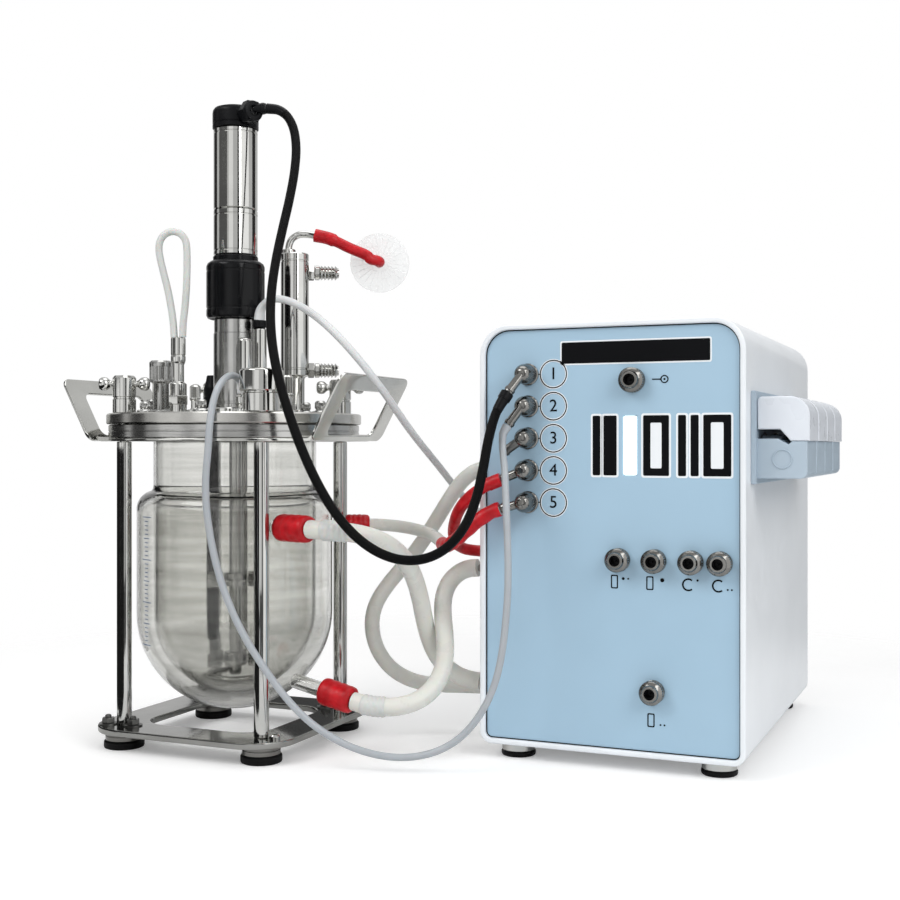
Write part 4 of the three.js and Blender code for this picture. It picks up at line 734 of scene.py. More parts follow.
for name, x, y in CORNERS:
    pad = revolve([(0, 0), (17.4, 0), (18.6, 0.6), (19, 1.8), (19, 6.2), (18.2, 7.2), (0, 7.2)], 64)
    disc = revolve([(0, 7.2), (16.6, 7.2), (17.5, 8.0), (17.5, 11.6), (16.9, 12.0), (16.9, 12.5), (17.5, 12.9),
                    (17.5, 15.0), (16.8, 15.7), (0, 15.7)], 72)
    piece(f"foot_pad_{name}", pad.at(x, y), RUBBER, stands_for=[f"stand_foot_{name}"])
    piece(f"foot_disc_{name}", disc.at(x, y), PORT_STEEL)
    bottom, shoulder = low(f"stand_rod_{name}").z, LIFT_Z - 0.3
    rod = revolve([(0, bottom), (6.4, bottom), (7, bottom + 0.8), (7, shoulder - 0.8), (6.4, shoulder),
                   (4, shoulder), (4, RING_Z - 1), (3, RING_Z), (0, RING_Z)], 48)
    piece(f"rod_bar_{name}", rod.at(x, y), POLISHED, stands_for=[f"stand_rod_{name}"])


def barred_nut():
    """A round clamp nut with a waist and a chamfered head, and a cross bar with a knob at each end."""
    half = [(0, 24), (3.4, 24), (5.2, 23.2), (6.3, 21.4), (6.5, 19), (6.1, 16.4), (4.4, 14.4), (3.3, 13.2), (3, 12)]
    bar = revolve([(r, -z) for r, z in half] + [(r, z) for r, z in reversed(half)], 32)
    body = revolve([
        (4.6, 0), (10.2, 0), (11, 0.8), (11, 13), (10.2, 13.8), (10.2, 15.2), (11, 16), (11, 33.6),
        (9.2, 35.8), (4.8, 36), (0, 36)], 56)
    cap = revolve([(0, 36), (3.4, 36), (3.4, 36.2), (0, 36.25)], 32)
    return body.join(laid(bar, (0, 0, 28), (0.92, 0.4, 0)), cap)


def large_nut():
    return revolve([
        (4.6, 0), (16.2, 0), (17, 0.9), (17, 16.6), (16.2, 17.4), (16.2, 18.4), (19, 18.8), (20, 19.8),
        (20, 36.6), (18.8, 38.4), (17.4, 39), (0, 39)], 96)


for name, x, y in CORNERS:
    shape = large_nut() if name == "front_right" else barred_nut()
    piece(f"clamp_nut_body_{name}", shape.at(x, y, STAND_Z), POLISHED, f"clamp_nut_{name}",
          [f"clamp_nut_{name}"])

# ---------------------------------------------------------------- lifting ring with its two handles
HANDLE_FOOT, HANDLE_OUT, HANDLE_UP = 124, 33, 60.5
LEAN = math.atan2(HANDLE_OUT, HANDLE_UP)
SHEET = math.hypot(HANDLE_OUT, HANDLE_UP)


def handle_sheet():
    sheet = extruded(rounded(-70, 70, 0, SHEET, 9), [rounded(-47, 47, 6, SHEET - 16, 8)], 3.0, 0.8)
    s, c = math.sin(LEAN), math.cos(LEAN)
    stand = Matrix(((0, s, c, HANDLE_FOOT - 3 * c), (1, 0, 0, 0), (0, c, -s, 3 * s), (0, 0, 0, 1)))
    bend = []
    for k in range(9):
        angle = (math.pi / 2 - LEAN) * k / 8
        bend.append((114 + 7 * math.sin(angle), 1.35 + 7 * (1 - math.cos(angle))))
    fold = strip([(84, 1.35), (108, 1.35)] + bend, 2.7, -61, 61)
    return sheet.moved(stand).join(fold)


disc = extruded(circle(121.5, 128), [circle(89, 96)], 2.7, 0.6)
handles = handle_sheet().join(handle_sheet().turned(180))
piece("lift_ring_sheet", disc.join(handles).at(AX, AY, LIFT_Z), SHEET_STEEL,
      stands_for=["lift_ring"], crease=40)

flange = revolve(
    rise(FLANGE_Z, [(80.5, 0), (120.6, 0), (121.5, 0.9), (121.5, 5.6), (120.9, 6), (120.9, 6.6), (121.5, 7)])
    + rise(FLANGE_TOP, [(121.5, -0.9), (120.6, 0), (87.5, 0)]) + rise(FLANGE_Z, [(87.5, 4.2), (80.5, 4.2)]),
    128, closed=True)
piece("flange_ring_body", flange.at(AX, AY), MILLED, stands_for=["flange_ring"])
bottom, top = levels("lid_gasket")
seal = revolve([(77, bottom), (86, bottom), (86, top), (77, top)], 96, closed=True)
piece("gasket_ring", seal.at(AX, AY), RUBBER, stands_for=["lid_gasket"])

# ---------------------------------------------------------------- head plate and what is welded to it
plate = revolve([
    (0, HEAD_Z), (122.6, HEAD_Z), (123.5, HEAD_Z + 0.9), (123.5, HEAD_TOP - 1.3), (122.2, HEAD_TOP), (90, HEAD_TOP),
    (60, HEAD_TOP), (30, HEAD_TOP), (0, HEAD_TOP)], 160)


def flanged(radius):
    """A welded foot ring with a fillet."""
    return [(0, -0.6), (radius + 4, -0.6), (radius + 4, 2), (radius + 3, 3), (radius + 1.2, 3), (radius, 4.4)]


def capped(radius, height, knurl=0):
    """A stub under a screw cap, the cap with grip teeth where knurl counts them."""
    split = height * 0.48
    profile = flanged(radius - 1.2) + [
        (radius - 1.2, split - 1.4), (radius - 0.6, split - 1.2), (radius, split), (radius, split + 1.2),
        (radius, split + 1.6), (radius, height - 2.4), (radius, height - 2), (radius - 1.4, height - 0.3),
        (radius - 2.2, height), (0, height)]
    return revolve(profile, 96, knurl, 0.7, (split + 1.3, height - 2.2))


def lance(radius, height, tip):
    """A tall tube under a union nut, its end rounded."""
    return revolve(flanged(radius - 1) + [
        (radius - 1, height * 0.3), (radius, height * 0.31), (radius, height * 0.5), (radius - 0.8, height * 0.51),
        (radius - 0.8, height * 0.53), (radius, height * 0.54), (radius, height - tip),
        (radius - 0.8, height - tip * 0.45), (radius - 2.4, height - tip * 0.12), (0, height)], 64)


stubs = Shape().join(
    capped(5, 26, 24).at(3, -74), capped(6.5, 36, 30).at(73, -26),
    lance(6.5, 72, 4).at(34, -38), lance(7, 84, 2).at(31, -6), capped(6.5, 17).at(43, -56),
    hexagon(8.2, 8, 0.8).at(34, -38, 22), hexagon(8.6, 8, 0.8).at(31, -6, 26))
small = Shape()
for radius, height, teeth, x, y in (
        (6, 15, 28, -78, -30), (5, 12, 24, -84, 12), (7, 19, 32, -58, 58), (6, 14, 28, -6, 88), (5.5, 13, 24, 84, 20),
        (5, 11, 20, -46, -84), (5, 12, 20, 22, -92), (6, 22, 28, 2, 40), (5, 12, 24, 62, 30)):
    small.join(capped(radius, height, teeth).at(x, y))
black_end = revolve([(0, 84), (6.2, 84), (6.8, 84.6), (6.8, 89.8), (6, 91), (4.2, 91), (0, 91)], 48)
piece("head_plate_disc", plate.at(AX, AY), TURNED, stands_for=["head_plate"])
piece("head_plate_stubs", stubs.at(AX, AY, HEAD_TOP), POLISHED)
piece("head_plate_caps", small.at(AX, AY, HEAD_TOP), MILLED)
piece("lance_end_cap", black_end.at(AX + 31, AY - 6, HEAD_TOP), BLACK)


# ---------------------------------------------------------------- glass
def arc_points(cx, cz, radius, start, end, count):
    turns = (on_circle(radius, start + (end - start) * k / count) for k in range(count + 1))
    return [(cx + x, cz + z) for x, z in turns]


JACKET_R, BORE_R = 95, 75.5
SPACE_OUT, SPACE_IN = 92, 79
BOWL_Z = 125


def bowl(radius):
    return [(0, BOWL_Z - radius)] + arc_points(0, BOWL_Z, radius, -90, 0, 20)[1:]


def vessel():
    """Outer skin, inside of the vessel, and the closed water space between its two walls."""
    lip_z, lip_top = FLANGE_Z + 4.5, FLANGE_Z + 8.9
    outer = bowl(JACKET_R) + [(JACKET_R, 160), (JACKET_R, 200)] + arc_points(77, 226, 18, 0, 78, 8)
    outer += [(79.4, 246), (79, 250), (79, lip_z - 1), (79.6, lip_z), (86, lip_z), (86.5, lip_z + 0.8),
              (86.5, lip_top - 0.8), (86, lip_top), (76.3, lip_top), (75.5, lip_top - 0.8)]
    inner = [(BORE_R, z) for z in (280, 240, 200, 160)] + bowl(BORE_R)[::-1]
    space = bowl(SPACE_OUT) + [(SPACE_OUT, 160), (SPACE_OUT, 200)] + arc_points(77, 223.5, 15, 0, 74, 8)
    space += [(79.6, 240.5), (79.2, 240)] + [(SPACE_IN, z) for z in (236, 200, 160)] + bowl(SPACE_IN)[::-1]
    hollow = revolve(space, 128)
    hollow.faces = [tuple(reversed(f)) for f in hollow.faces]
    return revolve(outer + inner, 128).join(hollow)


def arm(foot, direction, start, length):
    """One side arm with its bore, and a rounded mouth."""
    tube = revolve([(5.2, start), (7, start), (7, length - 0.8), (6.4, length), (5.6, length), (5.2, length - 0.6)],
                   40, closed=True)
    return laid(tube, foot, direction)


# foot and way of each side arm, its length, where its collar starts, the collar's length and the radius of the hose
ARMS = {
    "upper": ((74, -54, 212), (0.951, -0.309, 0), 34, 12, 38, 8.5),
    "lower": ((56, -26, 72), (0.975, -0.09, -0.2), 84, 61, 33, 8.5),
    "rear": ((82, 43.6, 209), (0.883, 0.469, 0), 32, 15, 24, 6),
}
glassware = vessel()
for foot, direction, length, *_ in ARMS.values():
    glassware.join(arm(foot, direction, 4 if length < 50 else 28, length))
piece("vessel_glass", glassware.at(AX, AY), GLASS, stands_for=["glass_vessel"], oriented=True)


def wobble(shape, height, scale):
    """Hand-cut silicone: the surface pushed in and out a little."""
    for v in shape.verts:
        push = noise.noise(v * scale) * height
        v += Vector((push, noise.noise((v + Vector((9, 3, 5))) * scale) * height, push * 0.5))
    return shape


for name, (foot, direction, _, start, size, hose) in ARMS.items():
    outer = hose + 4
    body = [(outer - 1.6, 0), (outer - 0.4, 1.0), (outer, 3)]
    body += [(outer + 0.25 * math.sin(k * 1.7), 3 + (size - 8) * k / 12) for k in range(1, 12)]
    body += [(outer, size - 5), (outer - 0.6, size - 1.6), (outer - 2.2, size), (7.3, size), (7.3, 0)]
    unit = Vector(direction).normalized()
    place = Vector(foot) + unit * start
    shape = wobble(laid(revolve(body, 72, closed=True), place, direction), 0.35, 0.16)
    piece(f"collar_{name}_sleeve", shape.at(AX, AY), RED, stands_for=[f"collar_{name}"], crease=60)


def graduations():
    """Plain level marks on the front of the jacket, every tenth one long."""
    shape = Shape()
    for k in range(31):
        z = 100 + 4 * k
        half = math.radians(5.2 if k % 10 == 0 else 3.4 if k % 5 == 0 else 2.0)
        middle = math.radians(-118)
        for n in range(6):
            a, b = (middle - half + 2 * half * (n + m) / 6 for m in (0, 1))
            corners = [(JACKET_R + 0.12, turn, level) for turn, level in (
                (a, z - 0.35), (b, z - 0.35), (b, z + 0.35), (a, z + 0.35))]
            corners += [(JACKET_R - 0.1, turn, level) for _, turn, level in corners]
            shape.join(Shape([(r * math.cos(t), r * math.sin(t), level) for r, t, level in corners],
                             [(0, 1, 2, 3), (7, 6, 5, 4), (0, 4, 5, 1), (1, 5, 6, 2), (2, 6, 7, 3), (3, 7, 4, 0)]))
    return shape


piece("glass_graduations", graduations().at(AX, AY), GREY_INK)

# ---------------------------------------------------------------- drive
HUB_TOP = high("bearing_hub").z
hub = revolve(
    rise(STAND_Z, [(6.6, 0), (20.6, 0), (21.5, 0.9), (21.5, 10), (20.9, 10.6), (20.9, 12), (21.5, 12.6)])
    + rise(HUB_TOP, [(21.5, -14), (21, -13.5), (21, -0.8), (20.2, 0), (6.6, 0)]), 96, closed=True)
foot_ring = revolve(rise(STAND_Z, [(21.7, 0), (27.6, 0), (28.4, 0.8), (28.4, 5), (27.4, 6), (21.7, 6)]), 96,
                    closed=True)
for k in range(6):
    foot_ring.join(revolve([(0, 0), (1.9, 0), (1.9, 1.8), (1.4, 2.2), (0.9, 2.2), (0.9, 1), (0, 1)], 20)
                   .at(*on_circle(25, 60 * k + 10), STAND_Z + 6))
piece("hub_body", hub.at(AX, AY), MILLED, stands_for=["bearing_hub"])
piece("hub_foot_ring", foot_ring.at(AX, AY), POLISHED)

SLEEVE_Z, SLEEVE_TOP = levels("coupling_sleeve")
sleeve = revolve(
    rise(SLEEVE_Z, [(6.6, 0), (25, 0), (27.2, 0.8), (28.5, 3.2), (28.5, 9), (28.1, 9.5), (28.1, 11), (28.5, 11.5)])
    + rise(SLEEVE_TOP, [(28.5, -16), (28.1, -15.5), (28.1, -14.5), (28.5, -14), (28.5, -10.4), (27.4, -7.6),
                        (24.6, -5.4), (22, -5), (22, -0.8), (21.2, 0), (0, 0)])
    + rise(SLEEVE_Z, [(0, 31), (6.6, 31)]), 96, closed=True)
piece("sleeve_body", sleeve.at(AX, AY), SATIN_BLACK, stands_for=["coupling_sleeve"])


def barrel(node, radius, grooves):
    """A turned housing with fine grooves at the given heights from its foot."""
    bottom, top = levels(node)
    profile = [(0, bottom), (radius - 0.9, bottom), (radius, bottom + 0.9)]
    for z in grooves:
        profile += rise(bottom + z, [(radius, 0), (radius - 0.7, 0.3), (radius - 0.7, 1.1), (radius, 1.4)])
    profile += [(radius, top - 0.9), (radius - 0.9, top), (0, top)]
    return revolve(profile, 96).at(AX, AY)


piece("gearbox_barrel", barrel("gearbox", 21.5, [4, 39]), POLISHED, stands_for=["gearbox"])
piece("motor_barrel", barrel("motor", 21.5, [74]), POLISHED, stands_for=["motor"])

CAP_Z, CAP_TOP = levels("motor_cap")
PLUG_Z = CAP_Z + 11.7
PLUG_WAY = Vector((0.872, -0.4895, 0))
cap = revolve(
    rise(CAP_Z, [(0, 0), (21.8, 0), (22.5, 0.7), (22.5, 4), (22, 4.4), (22, 5.2), (22.5, 5.6)])
    + rise(CAP_TOP, [(22.5, -6), (22, -3.4), (20.4, -1.2), (17.4, -0.2), (15, 0), (0, 0)]), 96)
boss = laid(revolve([(0, 0), (9, 0), (9, 22), (8.6, 22.6), (8.6, 24), (9, 24.4), (0, 24.5)], 48),
            (0, 0, PLUG_Z), PLUG_WAY)
piece("motor_cap_body", cap.join(boss).at(AX, AY), BLACK, stands_for=["motor_cap"])
boss_end = PLUG_WAY * 24.5 + Vector((AX, AY, PLUG_Z))
nut = hexagon(11.5, 11, 1.0).at(0, 0, 0.3)
face = revolve([(4.9, 9), (10.2, 9), (10.2, 11.4), (9.4, 13.4), (8, 14), (5.6, 14), (4.9, 13.4)], 48, closed=True)
well = revolve([(0, 9.4), (5, 9.4), (5, 9), (0, 9)], 40)
pins = Shape()
for k in range(5):
    pins.join(revolve([(0, 9), (0.55, 9), (0.55, 12.4), (0.3, 12.8), (0, 12.8)], 12).at(*on_circle(2.9, 72 * k + 20)))
start = boss_end + PLUG_WAY * 6 + Vector((0, 0, 3))
outlet = laid(revolve([(0, 0), (5.2, 0), (5.2, 10.6), (5.6, 11), (5.6, 13.2), (5.2, 13.6), (5.2, 14.6), (4.8, 15),
                       (0, 15)], 40), start, (0.95, 0.3, 0))
piece("motor_plug_body", laid(nut.join(face, well), boss_end, PLUG_WAY).join(outlet), BLACK,
      stands_for=["motor_plug"])
piece("motor_plug_pins", laid(pins, boss_end, PLUG_WAY), DARK_CHROME)

# ---------------------------------------------------------------- stirrer, sparger, probe
bottom, top = levels("stirrer_shaft")
shaft = revolve([(0, bottom), (4.6, bottom), (6, bottom + 1.4), (6, top - 1), (5, top), (0, top)], 48)
piece("shaft_bar", shaft.at(AX, AY), MILLED, "stirrer", ["stirrer_shaft"])
for name in ("impeller_lower", "impeller_upper"):
    z = sum(levels(name)) / 2
    body = revolve([(6.3, -6.5), (10.4, -6.5), (11, -5.9), (11, 5.9), (10.4, 6.5), (6.3, 6.5)], 48, closed=True)
    body.join(revolve([(10.8, -1), (22.1, -1), (22.5, -0.6), (22.5, 0.6), (22.1, 1), (10.8, 1)], 64, closed=True))
    for k in range(6):
        body.join(block(15, 30, -1, 1, -6.5, 6.5, 0.35).turned(60 * k))
    body.join(laid(revolve([(0, 0), (1.8, 0), (1.8, 1), (1, 1.1), (1, 0.3), (0, 0.3)], 20), (10.8, 0, 3.6), (1, 0, 0)))
    piece(f"{name}_wheel", body.at(AX, AY, z), MILLED, "stirrer", [name])

RING_LEVEL = 62.0
pipe = [(-20, 48, HEAD_TOP + 24), (-20, 48, HEAD_Z - 20), (-20, 48, RING_LEVEL + 60), (-20, 48, RING_LEVEL + 25),
        (-16, 38.4, RING_LEVEL + 8)]
first = math.atan2(48, -20)
pipe += [(26 * math.cos(first + k * math.pi / 6), 26 * math.sin(first + k * math.pi / 6), RING_LEVEL)
         for k in range(1, 11)]
tube = sweep(pipe, 3, 20, 8)
gland = revolve([(3.6, 0), (7.4, 0), (8, 0.6), (8, 7), (7.2, 8), (5.6, 8.4), (5.6, 13), (5, 13.8), (3.6, 14)], 48,
                closed=True)
gland_nut = hexagon(9, 7, 0.8).at(-20, 48, HEAD_TOP + 2)
piece("sparger_pipe", tube.at(AX, AY), MILLED, stands_for=["sparger"], crease=60)
piece("sparger_gland", gland.at(-20, 48, HEAD_TOP + 0.1).join(gland_nut).at(AX, AY), POLISHED)

PROBE_TOP = high("dip_probe").z
probe = revolve(
    [(0, 90), (3.4, 90.4), (5.4, 92), (6, 95)]
    + rise(STAND_Z, [(6, 0), (9, 0), (9, 18), (8.4, 18.6), (8.4, 20), (9, 20.6)])
    + rise(PROBE_TOP, [(9, -13), (8.4, -12), (6.6, -5), (6, -1), (5.2, 0), (0, 0)]), 64)
piece("probe_body", probe.at(PROBE_X, PROBE_Y), BLACK, stands_for=["dip_probe"])
probe_ring = revolve([(6.1, 0), (12, 0), (12.6, 0.6), (12.6, 5), (11.8, 5.8), (9.1, 6.2), (9.1, 0.2)], 64,
                     closed=True)
piece("probe_gland", probe_ring.at(PROBE_X, PROBE_Y, STAND_Z), POLISHED)

# ---------------------------------------------------------------- condenser, vent, side and sample ports
COND_X, COND_Y = AX + 30, AY + 64
column = revolve([
    (0, 0), (13, 0), (13.6, 0.6), (13.6, 4.4), (12.8, 5.2), (10, 5.6), (10, 37), (11.4, 39.4), (13.5, 40),
    (14.3, 40.8), (14.3, 46), (13.8, 46.5), (13.8, 47.6), (14.3, 48.1), (14.3, 156), (13.8, 156.5), (13.8, 157.6),
    (14.3, 158.1), (14.3, 164), (13.4, 165), (0, 165)], 96)
seam = block(-0.35, 0.35, 14.1, 14.55, 49, 155, 0.1).turned(200)


def hose_barb(length, size):
    """A round neck with a ring, and a nose of five ridges."""
    profile = [(0, 12), (5.2, 12), (5.2, 20), (7.2, 20.6), (7.4, 21.4), (7.4, 24.6), (6.8, 25.2)]
    step = (length - 27) / 5
    for k in range(5):
        z = 26 + k * step
        profile += [(size - 2.1, z), (size, z + 0.7), (size - 1.6 - 0.2 * k, z + step - 0.5)]
    return revolve(profile + [(size - 2.6, length - 0.3), (size - 3.4, length), (0, length)], 56)


side = Vector((0.85, 0.53, 0))
barbs, noses = Shape(), Shape()
for z in (46, 146):
    barbs.join(laid(hose_barb(45, 7.5), (0, 0, z), side))
    noses.join(laid(hexagon(8.4, 6, 0.7), Vector((0, 0, z)) + side.normalized() * 13.6, side))
piece("condenser_column", column.join(seam).at(COND_X, COND_Y, STAND_Z), POLISHED,
      stands_for=["condenser"])
piece("condenser_barbs", barbs.at(COND_X, COND_Y, STAND_Z), POLISHED)
piece("condenser_nuts", noses.at(COND_X, COND_Y, STAND_Z), POLISHED)

COND_TOP = high("condenser").z
VENT = Vector((0.919, 0.394))
FILTER_Z = COND_TOP - 7


def vent_point(out, back, z):
    return (COND_X + out * VENT.x - back * VENT.y, COND_Y + out * VENT.y + back * VENT.x, z)


bend = ((-6, 0.3), (-6, 8), (-3, 15), (4, 19.5), (12, 20), (20, 19))
vent = sweep([vent_point(out, 0, COND_TOP + rise) for out, rise in bend], 3.5, 28, 8)
collar = revolve([(3.6, 0), (6.6, 0), (7, 0.4), (7, 3.4), (6, 4.4), (4.2, 4.8), (3.6, 4.8)], 48, closed=True)
vent.join(collar.at(*vent_point(-6, 0, COND_TOP + 0.2)))
piece("vent_pipe", vent, POLISHED, stands_for=["vent_tube"], crease=60)
way = [vent_point(out, back, FILTER_Z + rise) for out, back, rise in (
    (20.3, 0, 26), (34.3, 0, 23), (56.3, 0, 13), (74.3, 0, 5), (77, 0.2, 2), (83, 2.6, 0.8), (85.6, 7, 0.2),
    (86, 10.9, 0))]
piece("vent_hose", wobble(sweep(way, lambda t: 5.5 + 1.1 * (t < 0.18), 28, 8), 0.4, 0.13), RED,
      stands_for=["vent_sleeve"], crease=60)
disc = revolve([
    (0, -4.5), (4, -4.5), (24, -3.6), (25, -3.2), (29.8, -2), (30.5, -1.4), (30.5, 1.4), (29.8, 2), (25, 3.2),
    (24, 3.6), (4.4, 4.5), (3.6, 5.2), (3, 9), (3.3, 10), (2.8, 16.5), (0, 16.5)], 96)
for k in range(24):
    disc.join(block(9, 27.5, -0.35, 0.35, -4.6, -3.4, 0.15).turned(15 * k))
for radius in (9, 17):
    disc.join(revolve([(radius, -4.5), (radius + 0.8, -4.5), (radius + 0.8, -3.9), (radius, -3.9)], 72, closed=True))
piece("vent_filter_disc", laid(disc, vent_point(86, 16, FILTER_Z), (-VENT.y, VENT.x, 0)), FILTER,
      stands_for=["vent_filter"])

side_cap = revolve([
    (0, 0), (11, 0), (11.4, 0.4), (11.4, 2.6), (10.6, 3.4), (8.4, 3.8), (8, 4.2), (8, 29.4), (9.4, 30.6), (10.6, 31),
    (11, 31.5), (11, 33), (11, 33.4), (11, 46), (11, 46.4), (11, 50), (9.4, 51.8), (0, 52)],
    120, 40, 0.6, (32.5, 46.2))
piece("side_cap_body", side_cap.at(AX - 60, AY - 40, STAND_Z), MILLED, stands_for=["side_port_cap"])
post = revolve([
    (0, 0), (8, 0), (8, 27.4), (7.4, 28.4), (6.2, 29), (5.5, 30), (5.5, 46), (6.4, 48), (7, 50.4), (7, 54), (6.6, 54.5),
    (6.6, 55.5), (7, 56), (7, 71.2), (6.2, 72), (0, 72)], 72)
post.join(hexagon(9.6, 9, 0.9).at(0, 0, 8))
for x in (-4.5, 4.8):
    post.join(revolve([(0, 66), (2.4, 66), (2.4, 71.9), (0, 71.9)], 24).at(x, 0))
piece("sample_post", post.at(AX - 27, AY - 58, STAND_Z), POLISHED, stands_for=["sample_port"])

# ---------------------------------------------------------------- control unit
def unit_outline(inset, steps=10):
    return rounded(UNIT_X + inset, UNIT_X + UNIT_W - inset, UNIT_LOW + inset, UNIT_TOP - inset, 28 - inset, steps,
                   11 - inset)


shell = along_y(extruded(unit_outline(0), [unit_outline(5)], UNIT_D - 5, 1.4), UNIT_Y)
INLET_X, INLET_Z = UNIT_X + 60, 60.0
inlet_hole = centred(INLET_X, INLET_Z, 15, 12, 2)
FAN_X, FAN_Z = UNIT_X + 160, 250.0
slots = []
for radius in (12, 21, 30, 39):
    for quarter in range(4):
        start, end = 90 * quarter + 9, 90 * quarter + 81
        slots.append(arc_points(FAN_X, FAN_Z, radius + 2.4, start, end, 12)
                     + arc_points(FAN_X, FAN_Z, radius - 2.4, end, start, 12))
back = along_y(extruded(unit_outline(0), [inlet_hole, *slots], 5, 1.2), UNIT_Y + UNIT_D - 5)
piece("unit_shell", shell.join(back), SHELL, stands_for=["controller_housing"])

BACK_Y = UNIT_Y + UNIT_D
well = extruded(centred(INLET_X, INLET_Z, 17.5, 14.5, 3), [centred(INLET_X, INLET_Z, 14.2, 11.2, 2.5)], 1.6, 0.5)
cup = extruded(inlet_hole, [centred(INLET_X, INLET_Z, 13.6, 10.6, 2)], 14, 0.3)
floor_plate = extruded(centred(INLET_X, INLET_Z, 14, 11, 2), (), 1.2, 0.2)
piece("inlet_frame", along_y(well, BACK_Y).join(along_y(cup, BACK_Y - 14), along_y(floor_plate, BACK_Y - 14.4)),
      BLACK)
blades = Shape()
for dx, dz in ((-7, -2), (7, -2), (0, 3)):
    blades.join(block(-1.1, 1.1, -9, 0, -3, 3, 0.3).at(INLET_X + dx, BACK_Y - 3, INLET_Z + dz))
piece("inlet_blades", blades, POLISHED)
piece("fan_guard_rear", along_y(extruded(circle(46, 72), [circle(44, 72)], 1.6, 0.5).at(FAN_X, FAN_Z), BACK_Y)
      .join(along_y(extruded(circle(7, 32), (), 2.0, 0.6).at(FAN_X, FAN_Z), BACK_Y - 0.4)), SHELL)
fan = along_y(extruded(circle(43, 48), (), 2, 0.3).at(FAN_X, FAN_Z), BACK_Y - 9)
piece("fan_screen", fan, BLACK)
screw = revolve([(0, 0), (3.6, 0), (3.5, 1), (2.4, 1.9), (1.3, 2.1), (1.3, 1.1), (0, 1.1)], 28)
back_screws = Shape()
for x in (UNIT_X + 22, UNIT_X + UNIT_W - 22):
    for z in (UNIT_LOW + 22, UNIT_TOP - 22, (UNIT_LOW + UNIT_TOP) / 2):
        back_screws.join(laid(screw, (x, BACK_Y, z), (0, 1, 0)))
piece("back_screws", back_screws, MILLED)

for k, (x, y) in enumerate(((28, 28), (UNIT_W - 28, 28), (28, UNIT_D - 28), (UNIT_W - 28, UNIT_D - 28)), 1):
    pad = revolve([(0, 0), (14.6, 0), (15.6, 0.8), (16, 2), (16, 4), (15.2, 4.8), (0, 4.8)], 64)
    disc = revolve([(0, 4.8), (14.4, 4.8), (15.4, 5.6), (15.4, 12.4), (14.6, 13.2), (11, 13.2), (11, 14.2),
                    (0, 14.2)], 64)
    piece(f"unit_foot_pad_{k}", pad.at(UNIT_X + x, UNIT_Y + y), RUBBER)
    piece(f"unit_foot_disc_{k}", disc.at(UNIT_X + x, UNIT_Y + y), POLISHED)

barb = revolve([
    (0, 0), (3.5, 0), (3.5, 5.4), (3.6, 6.6), (5, 8.2), (4.2, 11.4), (4.9, 11.9), (3.9, 15.2), (4.5, 15.6),
    (3.2, 19.6), (2.6, 20), (0, 20)], 40).join(hexagon(7.4, 4.2, 0.7))
wall_barbs = Shape()
for y, z in ((54, 60), (47, 170), (72, 184), (100, 46), (116, 266), (156, 204)):
    wall_barbs.join(laid(barb, (UNIT_X, UNIT_Y + y, z), (-1, 0, 0)))
piece("wall_barb_fittings", wall_barbs, POLISHED)

# ---------------------------------------------------------------- front panel
STATUS_X, STATUS_Z = UNIT_X + 141, 287.5
window = centred(STATUS_X, STATUS_Z, 6.25, 26.5, 0.6, 3)
panel = along_y(extruded(unit_outline(5.3), [window], 4, 0.5), PANEL_Y)
piece("panel_sheet", panel, PANEL, stands_for=["front_panel"])
bar = along_y(extruded(centred(STATUS_X, STATUS_Z, 5.9, 26.2, 2), (), 4, 0.5), PANEL_Y - 0.5)
piece("status_lens", bar, LIGHT, stands_for=["status_bar"])


def on_panel(shape, u, z):
    """Lays a shape that faces +Z flat on the panel, facing the front."""
    return shape.moved(Matrix(((1, 0, 0, UNIT_X + u), (0, 0, -1, PANEL_Y), (0, 1, 0, z), (0, 0, 0, 1))))


def numeral(text, size, thickness):
    """A plain numeral, its middle at the origin."""
    data = bpy.data.curves.new("numeral", "FONT")
    data.body = text
    data.size = size
    data.extrude = thickness / 2
    data.align_x, data.align_y = "CENTER", "CENTER"
    shape = mesh_shape(data)
    bpy.data.curves.remove(data)
    return shape.at(0, 0, thickness / 2)


COLUMN = (352, 323, 294, 265, 236)
COLUMN_U = 46
ARMS_OUT = ((16, (-0.45, -0.45, -0.77)), (16, (-0.5, -0.35, -0.79)), (14, (-0.8, -0.15, -0.58)),
            (12, (-0.93, -0.1, -0.36)), (12, (-0.96, -0.1, -0.26)))
nut = revolve([
    (0, 0), (9.4, 0), (10, 0.5), (10, 2), (9.4, 2.6), (8.2, 2.8), (8.2, 3.6), (8.9, 4.2), (9, 5), (9, 5.2),
    (9, 12.6), (8.9, 13), (8.3, 14.6), (7.4, 17.2), (5.8, 19.4), (4, 20.6), (2.6, 21), (2.4, 20.2), (0, 20)],
    144, 36, 0.55, (4.9, 12.7))
arm = revolve([(0, 2), (4.2, 2), (4.2, 17.6), (4.9, 18), (4.9, 20.4), (4.4, 20.8), (4.2, 22), (0, 22)], 40)
nuts, elbows, dull_elbow = Shape(), Shape(), Shape()
for row, (z, (front, way)) in enumerate(zip(COLUMN, ARMS_OUT)):
    nuts.join(on_panel(nut, COLUMN_U, z))
    start = Vector((UNIT_X + COLUMN_U, PANEL_Y - front, z))
    (dull_elbow if row == 2 else elbows).join(laid(arm, start, Vector(way).normalized()))
piece("column_nuts", nuts, PORT_STEEL)
piece("column_elbows", elbows, PORT_STEEL)
piece("column_elbow_spare", dull_elbow, DULL)


